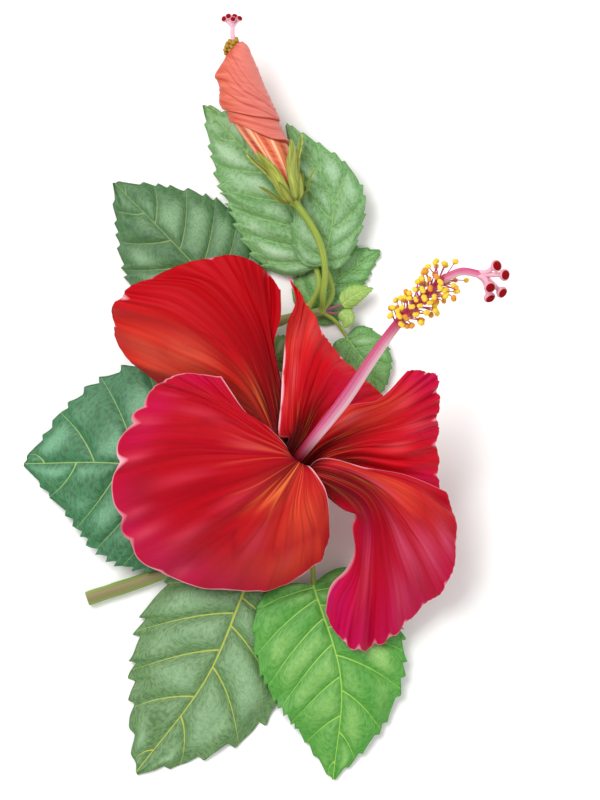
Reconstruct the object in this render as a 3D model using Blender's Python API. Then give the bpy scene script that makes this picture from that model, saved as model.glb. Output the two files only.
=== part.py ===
"""A picked sprig of red hibiscus, lying on a table with its open flower facing up.

Run with: blender --background --python part.py

The design frame has its origin on the table, straight below the flower's throat: +X to the
right, +Y along the sprig towards the closed flower, +Z up. Lengths there are millimetres.
The row frame is the same one, moved so that its origin is the bottom centre of the sprig's box.
"""

import math

import bmesh
import bpy
import numpy as np
from mathutils import Vector

MM = 0.001
ROW_SHIFT = np.array([11.9, -16.1, 0.0])  # from the design frame to the row frame
GAP = 0.35  # between pieces that touch, as the solids of this model must not meet

# The flower's tube and column lean along this line, out of the throat.
THROAT = np.array([0.0, 0.0, 38.0])
FLOWER_BEARING = math.radians(54)
FLOWER_RISE = math.radians(40)
TUBE_LENGTH = 27.0
CLAW_RADIUS = 3.3
THROAT_RADIUS = 7.5
PETAL_SPREAD = math.radians(76)  # of each petal round the throat, so that neighbours overlap
CLAW_SPREAD = math.radians(58)
OVERLAP_STEP = 1.2  # how far a tucked edge stands outside, and a covering edge inside
PETAL_THICKNESS = 0.8
LEAF_THICKNESS = 0.7

TWIG_ROUTE = [(-69, -47, 2.4), (-44, -38, 2.4), (-23, -24, 2.6), (-12, -4, 3.0), (-14, 17, 3.4),
              (-13.5, 33, 3.8), (-9, 41, 4.2), (-3, 43.6, 4.6), (6.5, 45.5, 5.0)]
TWIG_RADII = (2.35, 1.35)  # at the cut and at the growing end

# Petal: how its two edges lie against its neighbours (-1 covers, +1 is tucked behind), and its
# ribs, clockwise from above. A rib runs from the throat through three or more points, each given
# as bearing in degrees, reach and height from the throat in millimetres.
PETALS = {
    "petal_upper_left": {
        "turn": 16,
        "tuck": (1, 1),
        "ribs": [
            [(143, 16, -6.0), (151, 32, -12), (156, 46, -21)],
            [(136, 25, -2.5), (147, 46, -7.5), (150, 67, -15)],
            [(127, 32, 4.0), (134, 58, 3.0), (141, 76, -4)],
            [(116, 38, 5.5), (121, 62, 6.5), (131, 74, 2)],
            [(109, 36, 4.5), (110, 54, 8.0), (112, 68, 7)],
            [(107, 32, 3.0), (105, 48, 6.5), (103, 61.5, 8)],
            [(107, 21, -4.2), (104.5, 36, 1.8), (99, 44, 5), (97.5, 52.5, 7)],
        ],
    },
    "petal_top": {
        "turn": -51,
        "spread": 86,
        "tuck": (-1, 1),
        "ribs": [
            [(143, 9.2, 1.2), (113, 17.4, 2.0), (102, 29, -0.4), (95.5, 44, -5), (94.3, 56.5, -9)],
            [(98, 18, 1.0), (92, 35, -3.0), (88.5, 48, -9)],
            [(84, 18, 1.0), (79, 31, -4.0), (75, 35.5, -11)],
            [(68, 17, 0.0), (62, 27, -5.0), (54, 31, -12)],
            [(46, 14, -4.0), (37, 24, -9.0), (33, 32, -16)],
        ],
    },
    "petal_right": {
        "turn": -128,
        "tuck": (-1, 1),
        "ribs": [
            [(46, 20.6, 0.5), (35, 29.8, 0.0), (38, 43, -3)],
            [(30, 18, 0.0), (28, 34, 1.0), (30, 49, -6)],
            [(17, 18, 0.5), (16, 33, 2.0), (17, 45, -6)],
            [(4, 18, 0.0), (3, 33, 1.0), (5, 43, -7)],
            [(-17, 18, -5.0), (-17, 33, -6.5), (-18, 46, -13)],
        ],
    },
    "petal_lower_right": {
        "turn": 160,
        "tuck": (-1, 1),
        "ribs": [
            [(-13, 21, 1.5), (-12, 34, 1.0), (-15, 48, -6)],
            [(-17, 25, 2.0), (-21, 42, 0.0), (-28, 56, -12)],
            [(-25, 26, 1.5), (-36, 46, -6.0), (-42, 62.5, -19)],
            [(-30, 26, 0.0), (-47, 48, -9.0), (-53, 62.5, -25)],
            [(-34, 26, -1.5), (-55, 46, -12.0), (-65, 65.5, -27)],
            [(-40.5, 25.2, -3.0), (-60, 40.5, -14.5), (-75.5, 64.5, -27)],
            [(-61, 15.5, -5.0), (-54, 22.4, -6.5), (-48.5, 25.4, -9), (-56, 28.5, -12.5),
             (-61.5, 35.4, -16), (-69, 39.8, -19), (-78, 43.8, -22), (-81.8, 52, -26)],
        ],
    },
    "petal_lower_left": {
        "turn": 88,
        "tuck": (-1, -1),
        "ribs": [
            [(-56, 11.5, 5.0), (-61, 17, 1.5), (-71.5, 28, -10)],
            [(-85, 15, 5.5), (-80, 25, -2.5), (-81.5, 35.5, -15)],
            [(-107, 17, 6.0), (-106, 33, -5.0), (-107, 46.3, -23)],
            [(-137, 20, 7.5), (-142, 42, -4.0), (-144, 61, -22)],
            [(-177, 21, 9.0), (-176, 42, -1.0), (-172, 60, -15)],
            [(-204, 19, 10.5), (-205, 36, 3.0), (-200, 52.5, -9)],
            [(-212, 17, 10.5), (-213, 33, 7.0), (-212, 47, -1)],
            [(-217, 13, 9.5), (-216, 22, 9.5), (-221, 30, 8), (-223.5, 35.5, 6)],
        ],
    },
}

# The column rises out of the tube and bows a little; the style carries on from its tip.
COLUMN_ROUTE = [(-0.8, -1.0, 37.6), (13.5, 17.0, 53.5), (24.0, 32.5, 67.5), (32.0, 43.0, 76.0), (45.5, 56.0, 86.0)]
COLUMN_RADII = (2.1, 1.25)
STAMEN_SHARE = 0.70  # where along the column the stamens begin
STAMEN_COUNT = 40
ANTHER_RADIUS = 1.05
STYLE_ROUTE = [(50.6, 57.7, 89.8), (56.5, 56.8, 92.5)]
STYLE_TIPS = [(61.4, 59.4, 95.5), (64.0, 56.6, 95.0), (59.4, 52.8, 96.0), (63.2, 51.2, 92.5), (59.4, 49.6, 91.0)]

# Leaf: stalk's place along the twig, then stalk points, blade base, middle and tip, the blade's
# two half widths (left and right of the way it points), cordate lobes, droop and tooth size.
LEAVES = {
    "leaf_left": {
        "twig_share": 0.36, "stalk": [(-28, -20, 8)], "blade": [(-28, -9, 10.5), (-58, -3.5, 9.5), (-89.5, -3.5, 1.0)],
        "widths": (33, 35), "lobe": 0.08, "droop": 3.5, "tooth": 1.2,
    },
    "leaf_upper_left": {
        "twig_share": 0.68, "stalk": [(-19.5, 34, 5.5)], "blade": [(-21, 45, 4.5), (-38, 64, 4.0), (-60.5, 87, 0.8)],
        "widths": (22, 22), "lobe": 0.04, "droop": 2.6, "tooth": 1.2,
    },
    "leaf_behind": {
        "twig_share": 0.63, "stalk": [(-12, 27, 6.5)], "blade": [(-11, 29, 7), (-5, 32.5, 8), (2, 36.5, 6)],
        "widths": (6, 5.5), "lobe": 0.0, "droop": 1.0, "tooth": 0.5,
    },
    "leaf_top_left": {
        "twig_share": 0.955, "stalk": [(5.3, 53, 6)], "blade": [(4.6, 60, 5.4), (-6, 82, 6.5), (-31.5, 112, 2.6)],
        "widths": (18.5, 14), "lobe": 0.03, "droop": 2.0, "tooth": 1.2,
    },
    "leaf_top_right": {
        "twig_share": 1.0, "stalk": [(9.8, 51.5, 5.2)], "blade": [(7.2, 60.5, 8.0), (9.5, 82, 10.2), (-5, 106, 9.8)],
        "widths": (13, 9.5), "lobe": 0.06, "droop": 1.0, "tooth": 0.9,
    },
    "leaf_right_upper": {
        "twig_share": 0.90, "stalk": [(1.5, 43, 1.6)], "blade": [(3, 44, 1.2), (12, 56, 1.8), (25.3, 65, 1.0)],
        "widths": (11.5, 9), "lobe": 0.06, "droop": 0.4, "tooth": 0.9,
    },
    "leaf_right_lower": {
        "twig_share": 1.0, "stalk": [(11, 42, 4)], "blade": [(14.5, 37, 3.5), (21.5, 27, 4.0), (24, 16.5, 1.5)],
        "widths": (9, 8), "lobe": 0.10, "droop": 1.0, "tooth": 0.8,
    },
    "leaf_lower_left": {
        "twig_share": 0.27, "stalk": [(-24, -37, 4)], "blade": [(-18, -43, 4.5), (-31, -73, 3.0), (-53.5, -103, 0.8)],
        "widths": (25, 27), "lobe": 0.06, "droop": 2.0, "tooth": 1.5,
    },
    "leaf_lower_middle": {
        "twig_share": 0.40, "stalk": [(-6, -20, 6), (2.5, -33, 7)],
        "blade": [(3.6, -42.5, 7.5), (12.5, -73, 6.6), (10, -105.3, 0.8)],
        "widths": (22, 25), "lobe": 0.09, "droop": 2.0, "tooth": 1.2,
    },
}

# A young leaf still folded along its midrib: the line from the twig's tip to its own, and its
# half width at each point of that line.
YOUNG_LEAVES = {
    "young_leaf_outer": ([(11.0, 47.0, 6.0), (13.5, 47.8, 6.6), (18.0, 50.6, 7.6), (23.2, 52.8, 6.6)], [0.5, 0.7, 3.1, 0.3]),
    "young_leaf_inner": ([(10.4, 44.8, 5.4), (12.6, 44.6, 6.0), (14.8, 42.8, 6.6), (13.0, 39.8, 6.2)], [0.5, 0.7, 2.2, 0.3]),
}

# The closed flower: where its calyx begins and the way it points.
BUD_BASE = np.array([-2.4, 80.6, 16.5])
BUD_DIRECTION = np.array([-0.335, 0.94, 0.06])
BUD_BOW = 3.7  # how far it stands to the left of a straight line, two thirds of the way up
BUD_STALK_ROUTE = [(6.7, 50, 9.5), (7.4, 58.5, 12.5), (6.2, 66, 14.0), (3.0, 73, 15.2)]
FURLED_OUTLINE = [(1.8, 1.7), (5, 2.4), (10, 3.7), (14, 4.6), (19.6, 5.6), (25, 6.3), (30, 6.8), (35.4, 7.0),
                  (43.5, 6.4), (48.4, 4.9), (51.6, 3.5)]
FLOWER_STALK_ROUTE = [(-27.5, -30.5, 6.5), (-20, -26.5, 11.5)]

COLOURS = {
    "petal": (0.60, 0.01, 0.03, 0.55), "petal_coral": (0.78, 0.13, 0.08, 0.6),
    "leaf": (0.07, 0.20, 0.06, 0.6), "leaf_bright": (0.10, 0.32, 0.04, 0.55),
    "leaf_young": (0.36, 0.52, 0.16, 0.6), "twig": (0.22, 0.27, 0.07, 0.65),
    "stalk": (0.30, 0.36, 0.07, 0.6), "sepal": (0.33, 0.38, 0.08, 0.6),
    "column": (0.72, 0.22, 0.32, 0.5),
}


def clear_scene():
    for obj in list(bpy.data.objects):
        bpy.data.objects.remove(obj)


def material(name):
    """The Principled material of this name, with its colour and roughness from COLOURS."""
    found = bpy.data.materials.get(name)
    if found:
        return found
    made = bpy.data.materials.new(name)
    made.use_nodes = True
    shader = made.node_tree.nodes["Principled BSDF"]
    *colour, roughness = COLOURS[name]
    shader.inputs["Base Color"].default_value = (*colour, 1.0)
    shader.inputs["Roughness"].default_value = roughness
    return made


def add_object(name, points, faces, finish):
    """An object whose mesh has these design-frame points, in millimetres."""
    mesh = bpy.data.meshes.new(name)
    placed = (np.asarray(points) + ROW_SHIFT) * MM
    mesh.from_pydata(placed.tolist(), [], [tuple(face) for face in faces])
    mesh.materials.append(material(finish))
    mesh.shade_smooth()
    obj = bpy.data.objects.new(name, mesh)
    bpy.context.scene.collection.objects.link(obj)
    return obj


def unit(vector):
    return vector / np.linalg.norm(vector)


def spline(points, places):
    """A smooth line through the points, read at places from 0 to 1 along it."""
    points = np.asarray(points, float)
    steps = np.linalg.norm((points[1:] - points[:-1]).reshape(len(points) - 1, -1), axis=1)
    knots = np.concatenate([[0], np.cumsum(steps)]) / steps.sum()
    slopes = np.empty_like(points)
    slopes[0] = (points[1] - points[0]) / (knots[1] - knots[0])
    slopes[-1] = (points[-1] - points[-2]) / (knots[-1] - knots[-2])
    shape = (-1,) + (1,) * (points.ndim - 1)
    spans = (knots[2:] - knots[:-2]).reshape(shape)
    slopes[1:-1] = (points[2:] - points[:-2]) / spans
    places = np.clip(np.asarray(places, float), 0, 1)
    left = np.clip(np.searchsorted(knots, places, side="right") - 1, 0, len(points) - 2)
    width = (knots[left + 1] - knots[left]).reshape(shape)
    t = (places - knots[left]).reshape(shape) / width
    return (
        (2 * t**3 - 3 * t**2 + 1) * points[left]
        + (t**3 - 2 * t**2 + t) * width * slopes[left]
        + (3 * t**2 - 2 * t**3) * points[left + 1]
        + (t**3 - t**2) * width * slopes[left + 1]
    )


def lean(bearing, rise):
    """The unit vector with this bearing in plan and rise above the table, and two across it."""
    along = np.array([math.cos(rise) * math.cos(bearing), math.cos(rise) * math.sin(bearing), math.sin(rise)])
    across = np.array([-math.sin(bearing), math.cos(bearing), 0.0])
    return along, across, np.cross(along, across)


FLOWER_AXIS, FLOWER_SIDE, FLOWER_TOP = lean(FLOWER_BEARING, FLOWER_RISE)


def grid_faces(rows, columns, wrap=False):
    """Quads of a grid of points that is numbered row by row, joined round if wrap."""
    last = columns if wrap else columns - 1
    return [
        (r * columns + c, r * columns + (c + 1) % columns,
         (r + 1) * columns + (c + 1) % columns, (r + 1) * columns + c)
        for r in range(rows - 1)
        for c in range(last)
    ]


def solidify(obj, thickness):
    modifier = obj.modifiers.new("thickness", "SOLIDIFY")
    modifier.thickness = thickness * MM
    modifier.offset = 0
    modifier.use_even_offset = False


def sheet(name, grid, thickness, finish):
    rows, columns = grid.shape[:2]
    obj = add_object(name, grid.reshape(-1, 3), grid_faces(rows, columns), finish)
    solidify(obj, thickness)
    return obj


def rings_along(line, radii, sides, thickest=1e9):
    """Rings of points square to a line, with as little twist as possible from one to the next.

    A ring of more than the thickest radius is flattened to it, up and down.
    """
    line = np.asarray(line, float)
    ways = np.gradient(line, axis=0)
    ways /= np.linalg.norm(ways, axis=1)[:, None]
    start = np.array([0.0, 0.0, 1.0]) if abs(ways[0][2]) < 0.9 else np.array([1.0, 0.0, 0.0])
    turns = np.linspace(0, 2 * math.pi, sides, endpoint=False)
    rings, up = [], start
    for centre, way, radius in zip(line, ways, radii):
        up = unit(up - way * (up @ way))
        side = np.cross(way, up)
        rings.append(centre + np.outer(min(radius, thickest) * np.cos(turns), up)
                     + np.outer(radius * np.sin(turns), side))
    return np.array(rings)


def loft_parts(rings):
    """Points and faces of a closed solid through rings, with flat ends."""
    rows, sides = rings.shape[:2]
    faces = grid_faces(rows, sides, wrap=True)
    faces = [tuple(reversed(face)) for face in faces]
    faces.append(tuple(range(sides)))
    faces.append(tuple(reversed(range((rows - 1) * sides, rows * sides))))
    return rings.reshape(-1, 3), faces


def face_out(obj):
    """Turns every face of a closed mesh outwards."""
    edit = bmesh.new()
    edit.from_mesh(obj.data)
    bmesh.ops.recalc_face_normals(edit, faces=edit.faces)
    edit.to_mesh(obj.data)
    edit.free()
    return obj


def tube(name, line, radii, sides, finish):
    points, faces = loft_parts(rings_along(line, radii, sides))
    return face_out(add_object(name, points, faces, finish))


def join_to(obj, other, self_crossing=False):
    """Joins a helper solid to obj, so that they are one body, and hides the helper."""
    modifier = obj.modifiers.new("join " + other.name, "BOOLEAN")
    modifier.operation = "UNION"
    modifier.solver = "EXACT"
    modifier.use_self = self_crossing
    modifier.object = other
    other.hide_render = True
    other.display_type = "WIRE"


def twig_at(share):
    """The twig's centre, direction and radius at a share of its length."""
    near = spline(TWIG_ROUTE, [share, min(share + 0.01, 1), max(share - 0.01, 0)])
    return near[0], unit(near[1] - near[2]), TWIG_RADII[0] + (TWIG_RADII[1] - TWIG_RADII[0]) * share


def off_the_twig(share, towards, radius):
    """Where a stalk of this radius begins, so that its end meets the twig's bark."""
    centre, way, bark = twig_at(share)
    out = unit(np.asarray(towards, float) - centre)
    cosine = abs(out @ way)
    sine = math.sqrt(max(1 - cosine**2, 0.05))
    reach = (bark + radius * cosine) / sine
    if share >= 1:
        reach = min(reach, bark + radius)
    return centre + out * (reach + GAP)


def throat_point(depth, radius, turn):
    """A point of the flower's tube: depth below the throat, and a turn round its axis."""
    out = math.cos(turn) * FLOWER_SIDE + math.sin(turn) * FLOWER_TOP
    return THROAT - depth * FLOWER_AXIS + radius * out


def petal_grid(petal, rows, columns):
    """Points of a petal's middle surface, from its claw in the calyx to its margin."""
    ribs = []
    count = len(petal["ribs"])
    spread = math.radians(petal["spread"]) if "spread" in petal else PETAL_SPREAD
    for index, places in enumerate(petal["ribs"]):
        share = index / (count - 1)
        turn = math.radians(petal["turn"])
        tuck = petal["tuck"][0] * (1 - share) + petal["tuck"][1] * share
        claw = throat_point(TUBE_LENGTH - 2, CLAW_RADIUS, turn + (0.5 - share) * CLAW_SPREAD)
        waist = throat_point(TUBE_LENGTH * 0.45, 5.2 + 0.5 * tuck * OVERLAP_STEP,
                             turn + (0.5 - share) * (CLAW_SPREAD + spread) / 2)
        mouth = throat_point(tuck * OVERLAP_STEP, THROAT_RADIUS + tuck * OVERLAP_STEP,
                             turn + (0.5 - share) * spread)
        outer = [
            THROAT + np.array([reach * math.cos(math.radians(bearing)), reach * math.sin(math.radians(bearing)), height])
            for bearing, reach, height in places
        ]
        ribs.append(spline([claw, waist, mouth, *outer], np.linspace(0, 1, rows)))
    ribs = np.array(ribs)
    across = np.linspace(0, 1, columns)
    return np.stack([spline(ribs[:, row], across) for row in range(rows)])


def leaf_outline(share):
    """Half the blade's width at a share of the margin, as a part of its widest."""
    widest = 1 / 3
    return share**0.5 * (1 - share) / (widest**0.5 * (1 - widest))


def leaf_grid(leaf, rows, columns):
    """Points of a leaf's middle surface: each row follows the side veins out to the margin."""
    shares = np.linspace(0.003, 0.994, rows)
    on_rib = shares**1.8
    centres = spline(leaf["blade"], on_rib)
    ahead = spline(leaf["blade"], np.minimum(on_rib + 0.01, 1)) - spline(leaf["blade"], np.maximum(on_rib - 0.01, 0))
    ahead /= np.linalg.norm(ahead, axis=1)[:, None]
    side = np.cross([0, 0, 1], ahead)
    side /= np.linalg.norm(side, axis=1)[:, None]
    up = np.cross(ahead, side)
    length = np.linalg.norm(np.subtract(leaf["blade"][2], leaf["blade"][0]))
    half = leaf_outline(shares)
    behind = leaf["lobe"] * length * np.sin(math.pi * np.sqrt(np.minimum(shares / 0.3, 1)))
    forward = length * (shares - on_rib) - behind
    tooth = leaf["tooth"] * (np.arange(rows) % 2) * np.clip(shares * 8 - 0.8, 0, 1)
    grid = np.empty((rows, columns, 3))
    for column in range(columns):
        out = 2 * column / (columns - 1) - 1
        width = leaf["widths"][0] if out < 0 else leaf["widths"][1]
        reach = -out * width * half - math.copysign(1, out) * tooth * abs(out) ** 3
        fall = leaf["droop"] * out**2 * half
        grid[:, column] = (
            centres + side * reach[:, None] + ahead * (forward * abs(out))[:, None] - up * fall[:, None]
        )
    return grid


def leaf(name, spec, finish):
    """A leaf: its toothed blade, and its stalk, which runs on under the blade as the midrib."""
    rows, columns = (18, 7) if spec["widths"][0] > 7 else (11, 5)
    grid = leaf_grid(spec, rows, columns)
    low = grid[..., 2].min() - LEAF_THICKNESS / 2
    if low < 0:
        grid[..., 2] += np.where(grid[..., 2] < LEAF_THICKNESS / 2, LEAF_THICKNESS / 2 - grid[..., 2], 0)
    blade = sheet(name, grid, LEAF_THICKNESS, finish)
    thick = 0.5 + 0.035 * spec["widths"][0]
    under = spline(spec["blade"], [0.04, 0.16, 0.34]) - np.array([0, 0, 0.4])
    start = off_the_twig(spec["twig_share"], spec["stalk"][0], thick)
    route = [start, *spec["stalk"], *under]
    line = spline(route, np.linspace(0, 1, 3 * len(route)))
    radii = np.linspace(thick, 0.45, len(line))
    join_to(blade, tube(name + " stalk", line, radii, 8, finish))


def young_leaf(name, route, half_widths):
    start = off_the_twig(1.0, route[0], half_widths[0])
    places = np.linspace(0, 1, 11)
    line = spline([start, *route], places)
    radii = np.interp(places, np.linspace(0, 1, len(half_widths) + 1), [half_widths[0], *half_widths])
    points, faces = loft_parts(rings_along(line, radii, 10, thickest=0.55))
    face_out(add_object(name, points, faces, "leaf_young"))


def petals():
    for name, petal in PETALS.items():
        columns = 2 * len(petal["ribs"]) - 1
        sheet(name, petal_grid(petal, 14, columns), PETAL_THICKNESS, "petal")


def column_line(count):
    """The staminal column's centre line, which rises out of the tube and bows over a little."""
    start = THROAT - (TUBE_LENGTH - 5) * FLOWER_AXIS
    return spline([start, *COLUMN_ROUTE], np.linspace(0, 1, count))


def stamen_parts(index):
    """A filament's root, its end and its anther's centre, for one stamen of the column."""
    golden = math.pi * (3 - math.sqrt(5))
    share = STAMEN_SHARE + (1 - STAMEN_SHARE) * (index + 0.5) / STAMEN_COUNT
    near = column_line(101)
    place = int(share * 100)
    way = unit(near[min(place + 1, 100)] - near[place - 1])
    out = math.cos(index * golden) * FLOWER_SIDE + math.sin(index * golden) * FLOWER_TOP
    out = unit(out - way * (out @ way))
    reach = 6.2 + 1.6 * math.sin(index * 2.3)
    return near[place], near[place] + reach * unit(out + 0.45 * way)


def add_ball(edit, centre, radius):
    made = bmesh.ops.create_icosphere(edit, subdivisions=1, radius=radius * MM)
    bmesh.ops.translate(edit, verts=made["verts"], vec=Vector((centre + ROW_SHIFT) * MM))


def add_tube(edit, line, radii, sides):
    points, faces = loft_parts(rings_along(line, radii, sides))
    placed = [edit.verts.new((point + ROW_SHIFT) * MM) for point in points]
    for face in faces:
        edit.faces.new([placed[corner] for corner in face])


def helper(name, fill, finish):
    """An object made by filling one bmesh with closed solids that may cross each other."""
    mesh = bpy.data.meshes.new(name)
    edit = bmesh.new()
    fill(edit)
    bmesh.ops.recalc_face_normals(edit, faces=edit.faces)
    edit.to_mesh(mesh)
    edit.free()
    mesh.materials.append(material(finish))
    obj = bpy.data.objects.new(name, mesh)
    bpy.context.scene.collection.objects.link(obj)
    return obj


def staminal_column():
    """The pink tube of joined filaments, with free filaments and anthers on its upper part."""
    line = column_line(22)
    radii = np.linspace(*COLUMN_RADII, len(line))
    core = tube("staminal_column", line, radii, 10, "column")

    def stamens(edit):
        for index in range(STAMEN_COUNT):
            root, tip = stamen_parts(index)
            add_tube(edit, np.linspace(root, tip, 3), [0.32, 0.3, 0.28], 5)
            add_ball(edit, tip, ANTHER_RADIUS)

    join_to(core, helper("stamens", stamens, "column"), self_crossing=True)


def style():
    """The style beyond the column: a bent stem that parts into five, each with a round stigma."""
    line = spline([column_line(101)[-1] + GAP * 2 * FLOWER_AXIS, *STYLE_ROUTE], np.linspace(0, 1, 9))
    core = tube("style", line, np.linspace(1.15, 0.95, len(line)), 8, "column")

    def branches(edit):
        root = line[-2]
        for tip in STYLE_TIPS:
            way = unit(np.array(tip) - root)
            add_tube(edit, spline([root, root + 3 * FLOWER_AXIS * 0.4 + 3 * way, np.array(tip)], np.linspace(0, 1, 5)),
                     [0.5, 0.5, 0.48, 0.45, 0.45], 6)
            add_ball(edit, np.array(tip), 1.6)

    join_to(core, helper("stigmas", branches, "column"), self_crossing=True)


def crown(name, base, frame, cup, lobes, lobe_edges, gap_edges, lobe_rows, thickness, finish):
    """A cup round an axis whose rim grows out into lobes.

    cup lists (along, radius) of its rings. lobe_rows lists (along, radius, half width as a share
    of the lobe's base) from the rim out. gap_edges is the rim left bare between two lobes.
    """
    axis, side, top = frame
    sector = lobe_edges + gap_edges
    around = lobes * sector

    def ring(along, radius, turns):
        out = np.outer(np.cos(turns), side) + np.outer(np.sin(turns), top)
        return base + along * axis + radius * out

    turns = np.arange(around) * 2 * math.pi / around
    points = [base + cup[0][0] * axis]
    for along, radius in cup:
        points.extend(ring(along, radius, turns))
    faces = [(0, 1 + (c + 1) % around, 1 + c) for c in range(around)]
    faces += [tuple(1 + corner for corner in face) for face in grid_faces(len(cup), around, wrap=True)]
    rim = 1 + (len(cup) - 1) * around
    for lobe in range(lobes):
        first = lobe * sector
        below = [rim + (first + c) % around for c in range(lobe_edges + 1)]
        middle = (first + lobe_edges / 2) * 2 * math.pi / around
        half = lobe_edges / 2 * 2 * math.pi / around
        for along, radius, share in lobe_rows:
            offsets = np.linspace(-half, half, lobe_edges + 1) * share * cup[-1][1] / radius
            row = list(range(len(points), len(points) + lobe_edges + 1))
            points.extend(ring(along, radius, middle + offsets))
            faces += [(below[c], below[c + 1], row[c + 1], row[c]) for c in range(lobe_edges)]
            below = row
    obj = add_object(name, points, faces, finish)
    face_out(obj)
    solidify(obj, thickness)
    return obj


def calyx_of(prefix, base, frame, scale):
    """A five-lobed calyx cup, and the narrow bracts of the epicalyx below it."""
    cup = [(0.6, 2.6), (2.0, 4.6), (6.0, 5.6), (11.0, 6.3)]
    lobe_rows = [(14.0, 7.0, 0.92), (17.5, 7.9, 0.62), (20.0, 8.8, 0.12)]
    crown(prefix + "calyx", base, frame,
          [(along * scale, radius * scale) for along, radius in cup], 5, 4, 0,
          [(along * scale, radius * scale, share) for along, radius, share in lobe_rows],
          0.6, "sepal")
    bracts = [(-0.6, 2.4), (0.5, 4.4), (1.6, 5.7)]
    bract_rows = [(5.0, 7.8, 0.9), (9.5, 9.6, 0.75), (14.0, 12.2, 0.2)]
    crown(prefix + "epicalyx", base, frame,
          [(along * scale, radius * scale) for along, radius in bracts], 7, 2, 1,
          [(along * scale, radius * scale, share) for along, radius, share in bract_rows],
          0.5, "sepal")


def flower_stalk():
    """The open flower's stalk, from the leaf axil on the twig to the foot of the epicalyx."""
    end = THROAT - (TUBE_LENGTH + 3.0) * FLOWER_AXIS
    start = off_the_twig(0.20, FLOWER_STALK_ROUTE[0], 1.3)
    line = spline([start, *FLOWER_STALK_ROUTE, end], np.linspace(0, 1, 12))
    tube("flower_stalk", line, np.linspace(1.2, 1.6, len(line)), 8, "stalk")


def closed_flower():
    """The closed flower: a stalk, calyx and epicalyx round petals that are furled in a spiral."""
    axis = unit(BUD_DIRECTION)
    side = unit(np.cross([0, 0, 1], axis))
    frame = (axis, side, np.cross(axis, side))
    calyx_of("closed_flower_", BUD_BASE, frame, 0.72)
    line = spline([off_the_twig(1.0, BUD_STALK_ROUTE[0], 1.0), *BUD_STALK_ROUTE, BUD_BASE - 1.4 * axis],
                  np.linspace(0, 1, 16))
    tube("closed_flower_stalk", line, np.linspace(0.95, 1.25, len(line)), 8, "stalk")
    turns = np.linspace(0, 2 * math.pi, 15, endpoint=False)
    rings = []
    for along, radius in spline(FURLED_OUTLINE, np.linspace(0, 1, 16)):
        share = along / FURLED_OUTLINE[-1][0]
        centre = BUD_BASE + along * axis + BUD_BOW * math.sin(math.pi * share**2) * side
        flutes = radius * (1 + 0.09 * np.cos(5 * turns - 4.0 * share))
        rings.append(centre + np.outer(flutes * np.cos(turns), side) + np.outer(flutes * np.sin(turns), frame[2]))
    points, faces = loft_parts(np.array(rings))
    face_out(add_object("closed_flower_petals", points, faces, "petal_coral"))
    tip = rings[-1].mean(axis=0)
    closed_flower_style(tip, axis, side)


def closed_flower_style(tip, axis, side):
    """What stands out of the furled petals: a few anthers on the column's tip, and the stigmas."""
    root = tip + (GAP + 0.1) * axis
    line = np.array([root, root + 1.6 * axis, root + 3.4 * axis, root + 6.0 * axis])
    core = tube("closed_flower_style", line, [0.9, 0.75, 0.6, 0.5], 8, "column")

    def branches(edit):
        for index in range(7):
            turn = index * 2.4
            out = math.cos(turn) * side + math.sin(turn) * np.array([0, 0, 1.0])
            anther = root + (0.9 + 0.28 * index) * axis + 2.0 * out
            add_tube(edit, np.linspace(root + 0.8 * axis, anther, 3), [0.3, 0.28, 0.25], 5)
            add_ball(edit, anther, 0.8)
        for index in range(4):
            turn = index * math.pi / 2 + 0.4
            out = math.cos(turn) * side + math.sin(turn) * np.array([0, 0, 1.0])
            stigma = root + 7.3 * axis + 1.7 * out
            add_tube(edit, np.linspace(line[-2], stigma, 4), [0.4, 0.4, 0.35, 0.3], 5)
            add_ball(edit, stigma, 0.85)

    join_to(core, helper("closed flower stigmas", branches, "column"), self_crossing=True)


def main():
    clear_scene()
    line = spline(TWIG_ROUTE, np.linspace(0, 1, 34))
    tube("twig", line, np.linspace(*TWIG_RADII, len(line)), 10, "twig")
    flower_stalk()
    base = THROAT - (TUBE_LENGTH + 1.5) * FLOWER_AXIS
    calyx_of("", base, (FLOWER_AXIS, FLOWER_SIDE, FLOWER_TOP), 1.0)
    petals()
    staminal_column()
    style()
    for name, spec in LEAVES.items():
        leaf(name, spec, "leaf_bright" if name == "leaf_lower_middle" else "leaf")
    for name, (route, half_widths) in YOUNG_LEAVES.items():
        young_leaf(name, route, half_widths)
    closed_flower()


main()
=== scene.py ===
"""The look of a picked sprig of red hibiscus: petals, leaves, twig, column and closed flower.

Every piece stands for the CAD node of its name, and lies where that node lies, in finer shape.
The points are in millimetres, from the spot on the table that is straight below the throat.
"""

import math

import bpy
import numpy as np
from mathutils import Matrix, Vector


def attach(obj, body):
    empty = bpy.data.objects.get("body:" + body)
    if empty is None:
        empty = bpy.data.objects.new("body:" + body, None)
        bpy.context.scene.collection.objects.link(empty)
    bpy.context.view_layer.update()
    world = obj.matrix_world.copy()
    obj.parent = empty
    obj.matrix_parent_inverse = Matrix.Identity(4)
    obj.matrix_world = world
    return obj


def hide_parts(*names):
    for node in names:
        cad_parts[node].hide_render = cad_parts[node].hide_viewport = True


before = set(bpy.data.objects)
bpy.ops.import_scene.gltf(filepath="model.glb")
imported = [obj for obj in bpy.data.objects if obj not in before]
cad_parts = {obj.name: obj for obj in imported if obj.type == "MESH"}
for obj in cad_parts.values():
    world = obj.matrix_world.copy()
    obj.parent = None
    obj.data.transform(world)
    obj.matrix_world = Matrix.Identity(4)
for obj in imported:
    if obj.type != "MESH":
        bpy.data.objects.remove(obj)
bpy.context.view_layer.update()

MM = 0.001
ROW_SHIFT = np.array([11.9, -16.1, 0.0])  # from the spot below the throat to the row's origin

# ---------------------------------------------------------------- the sprig's guiding points

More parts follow.
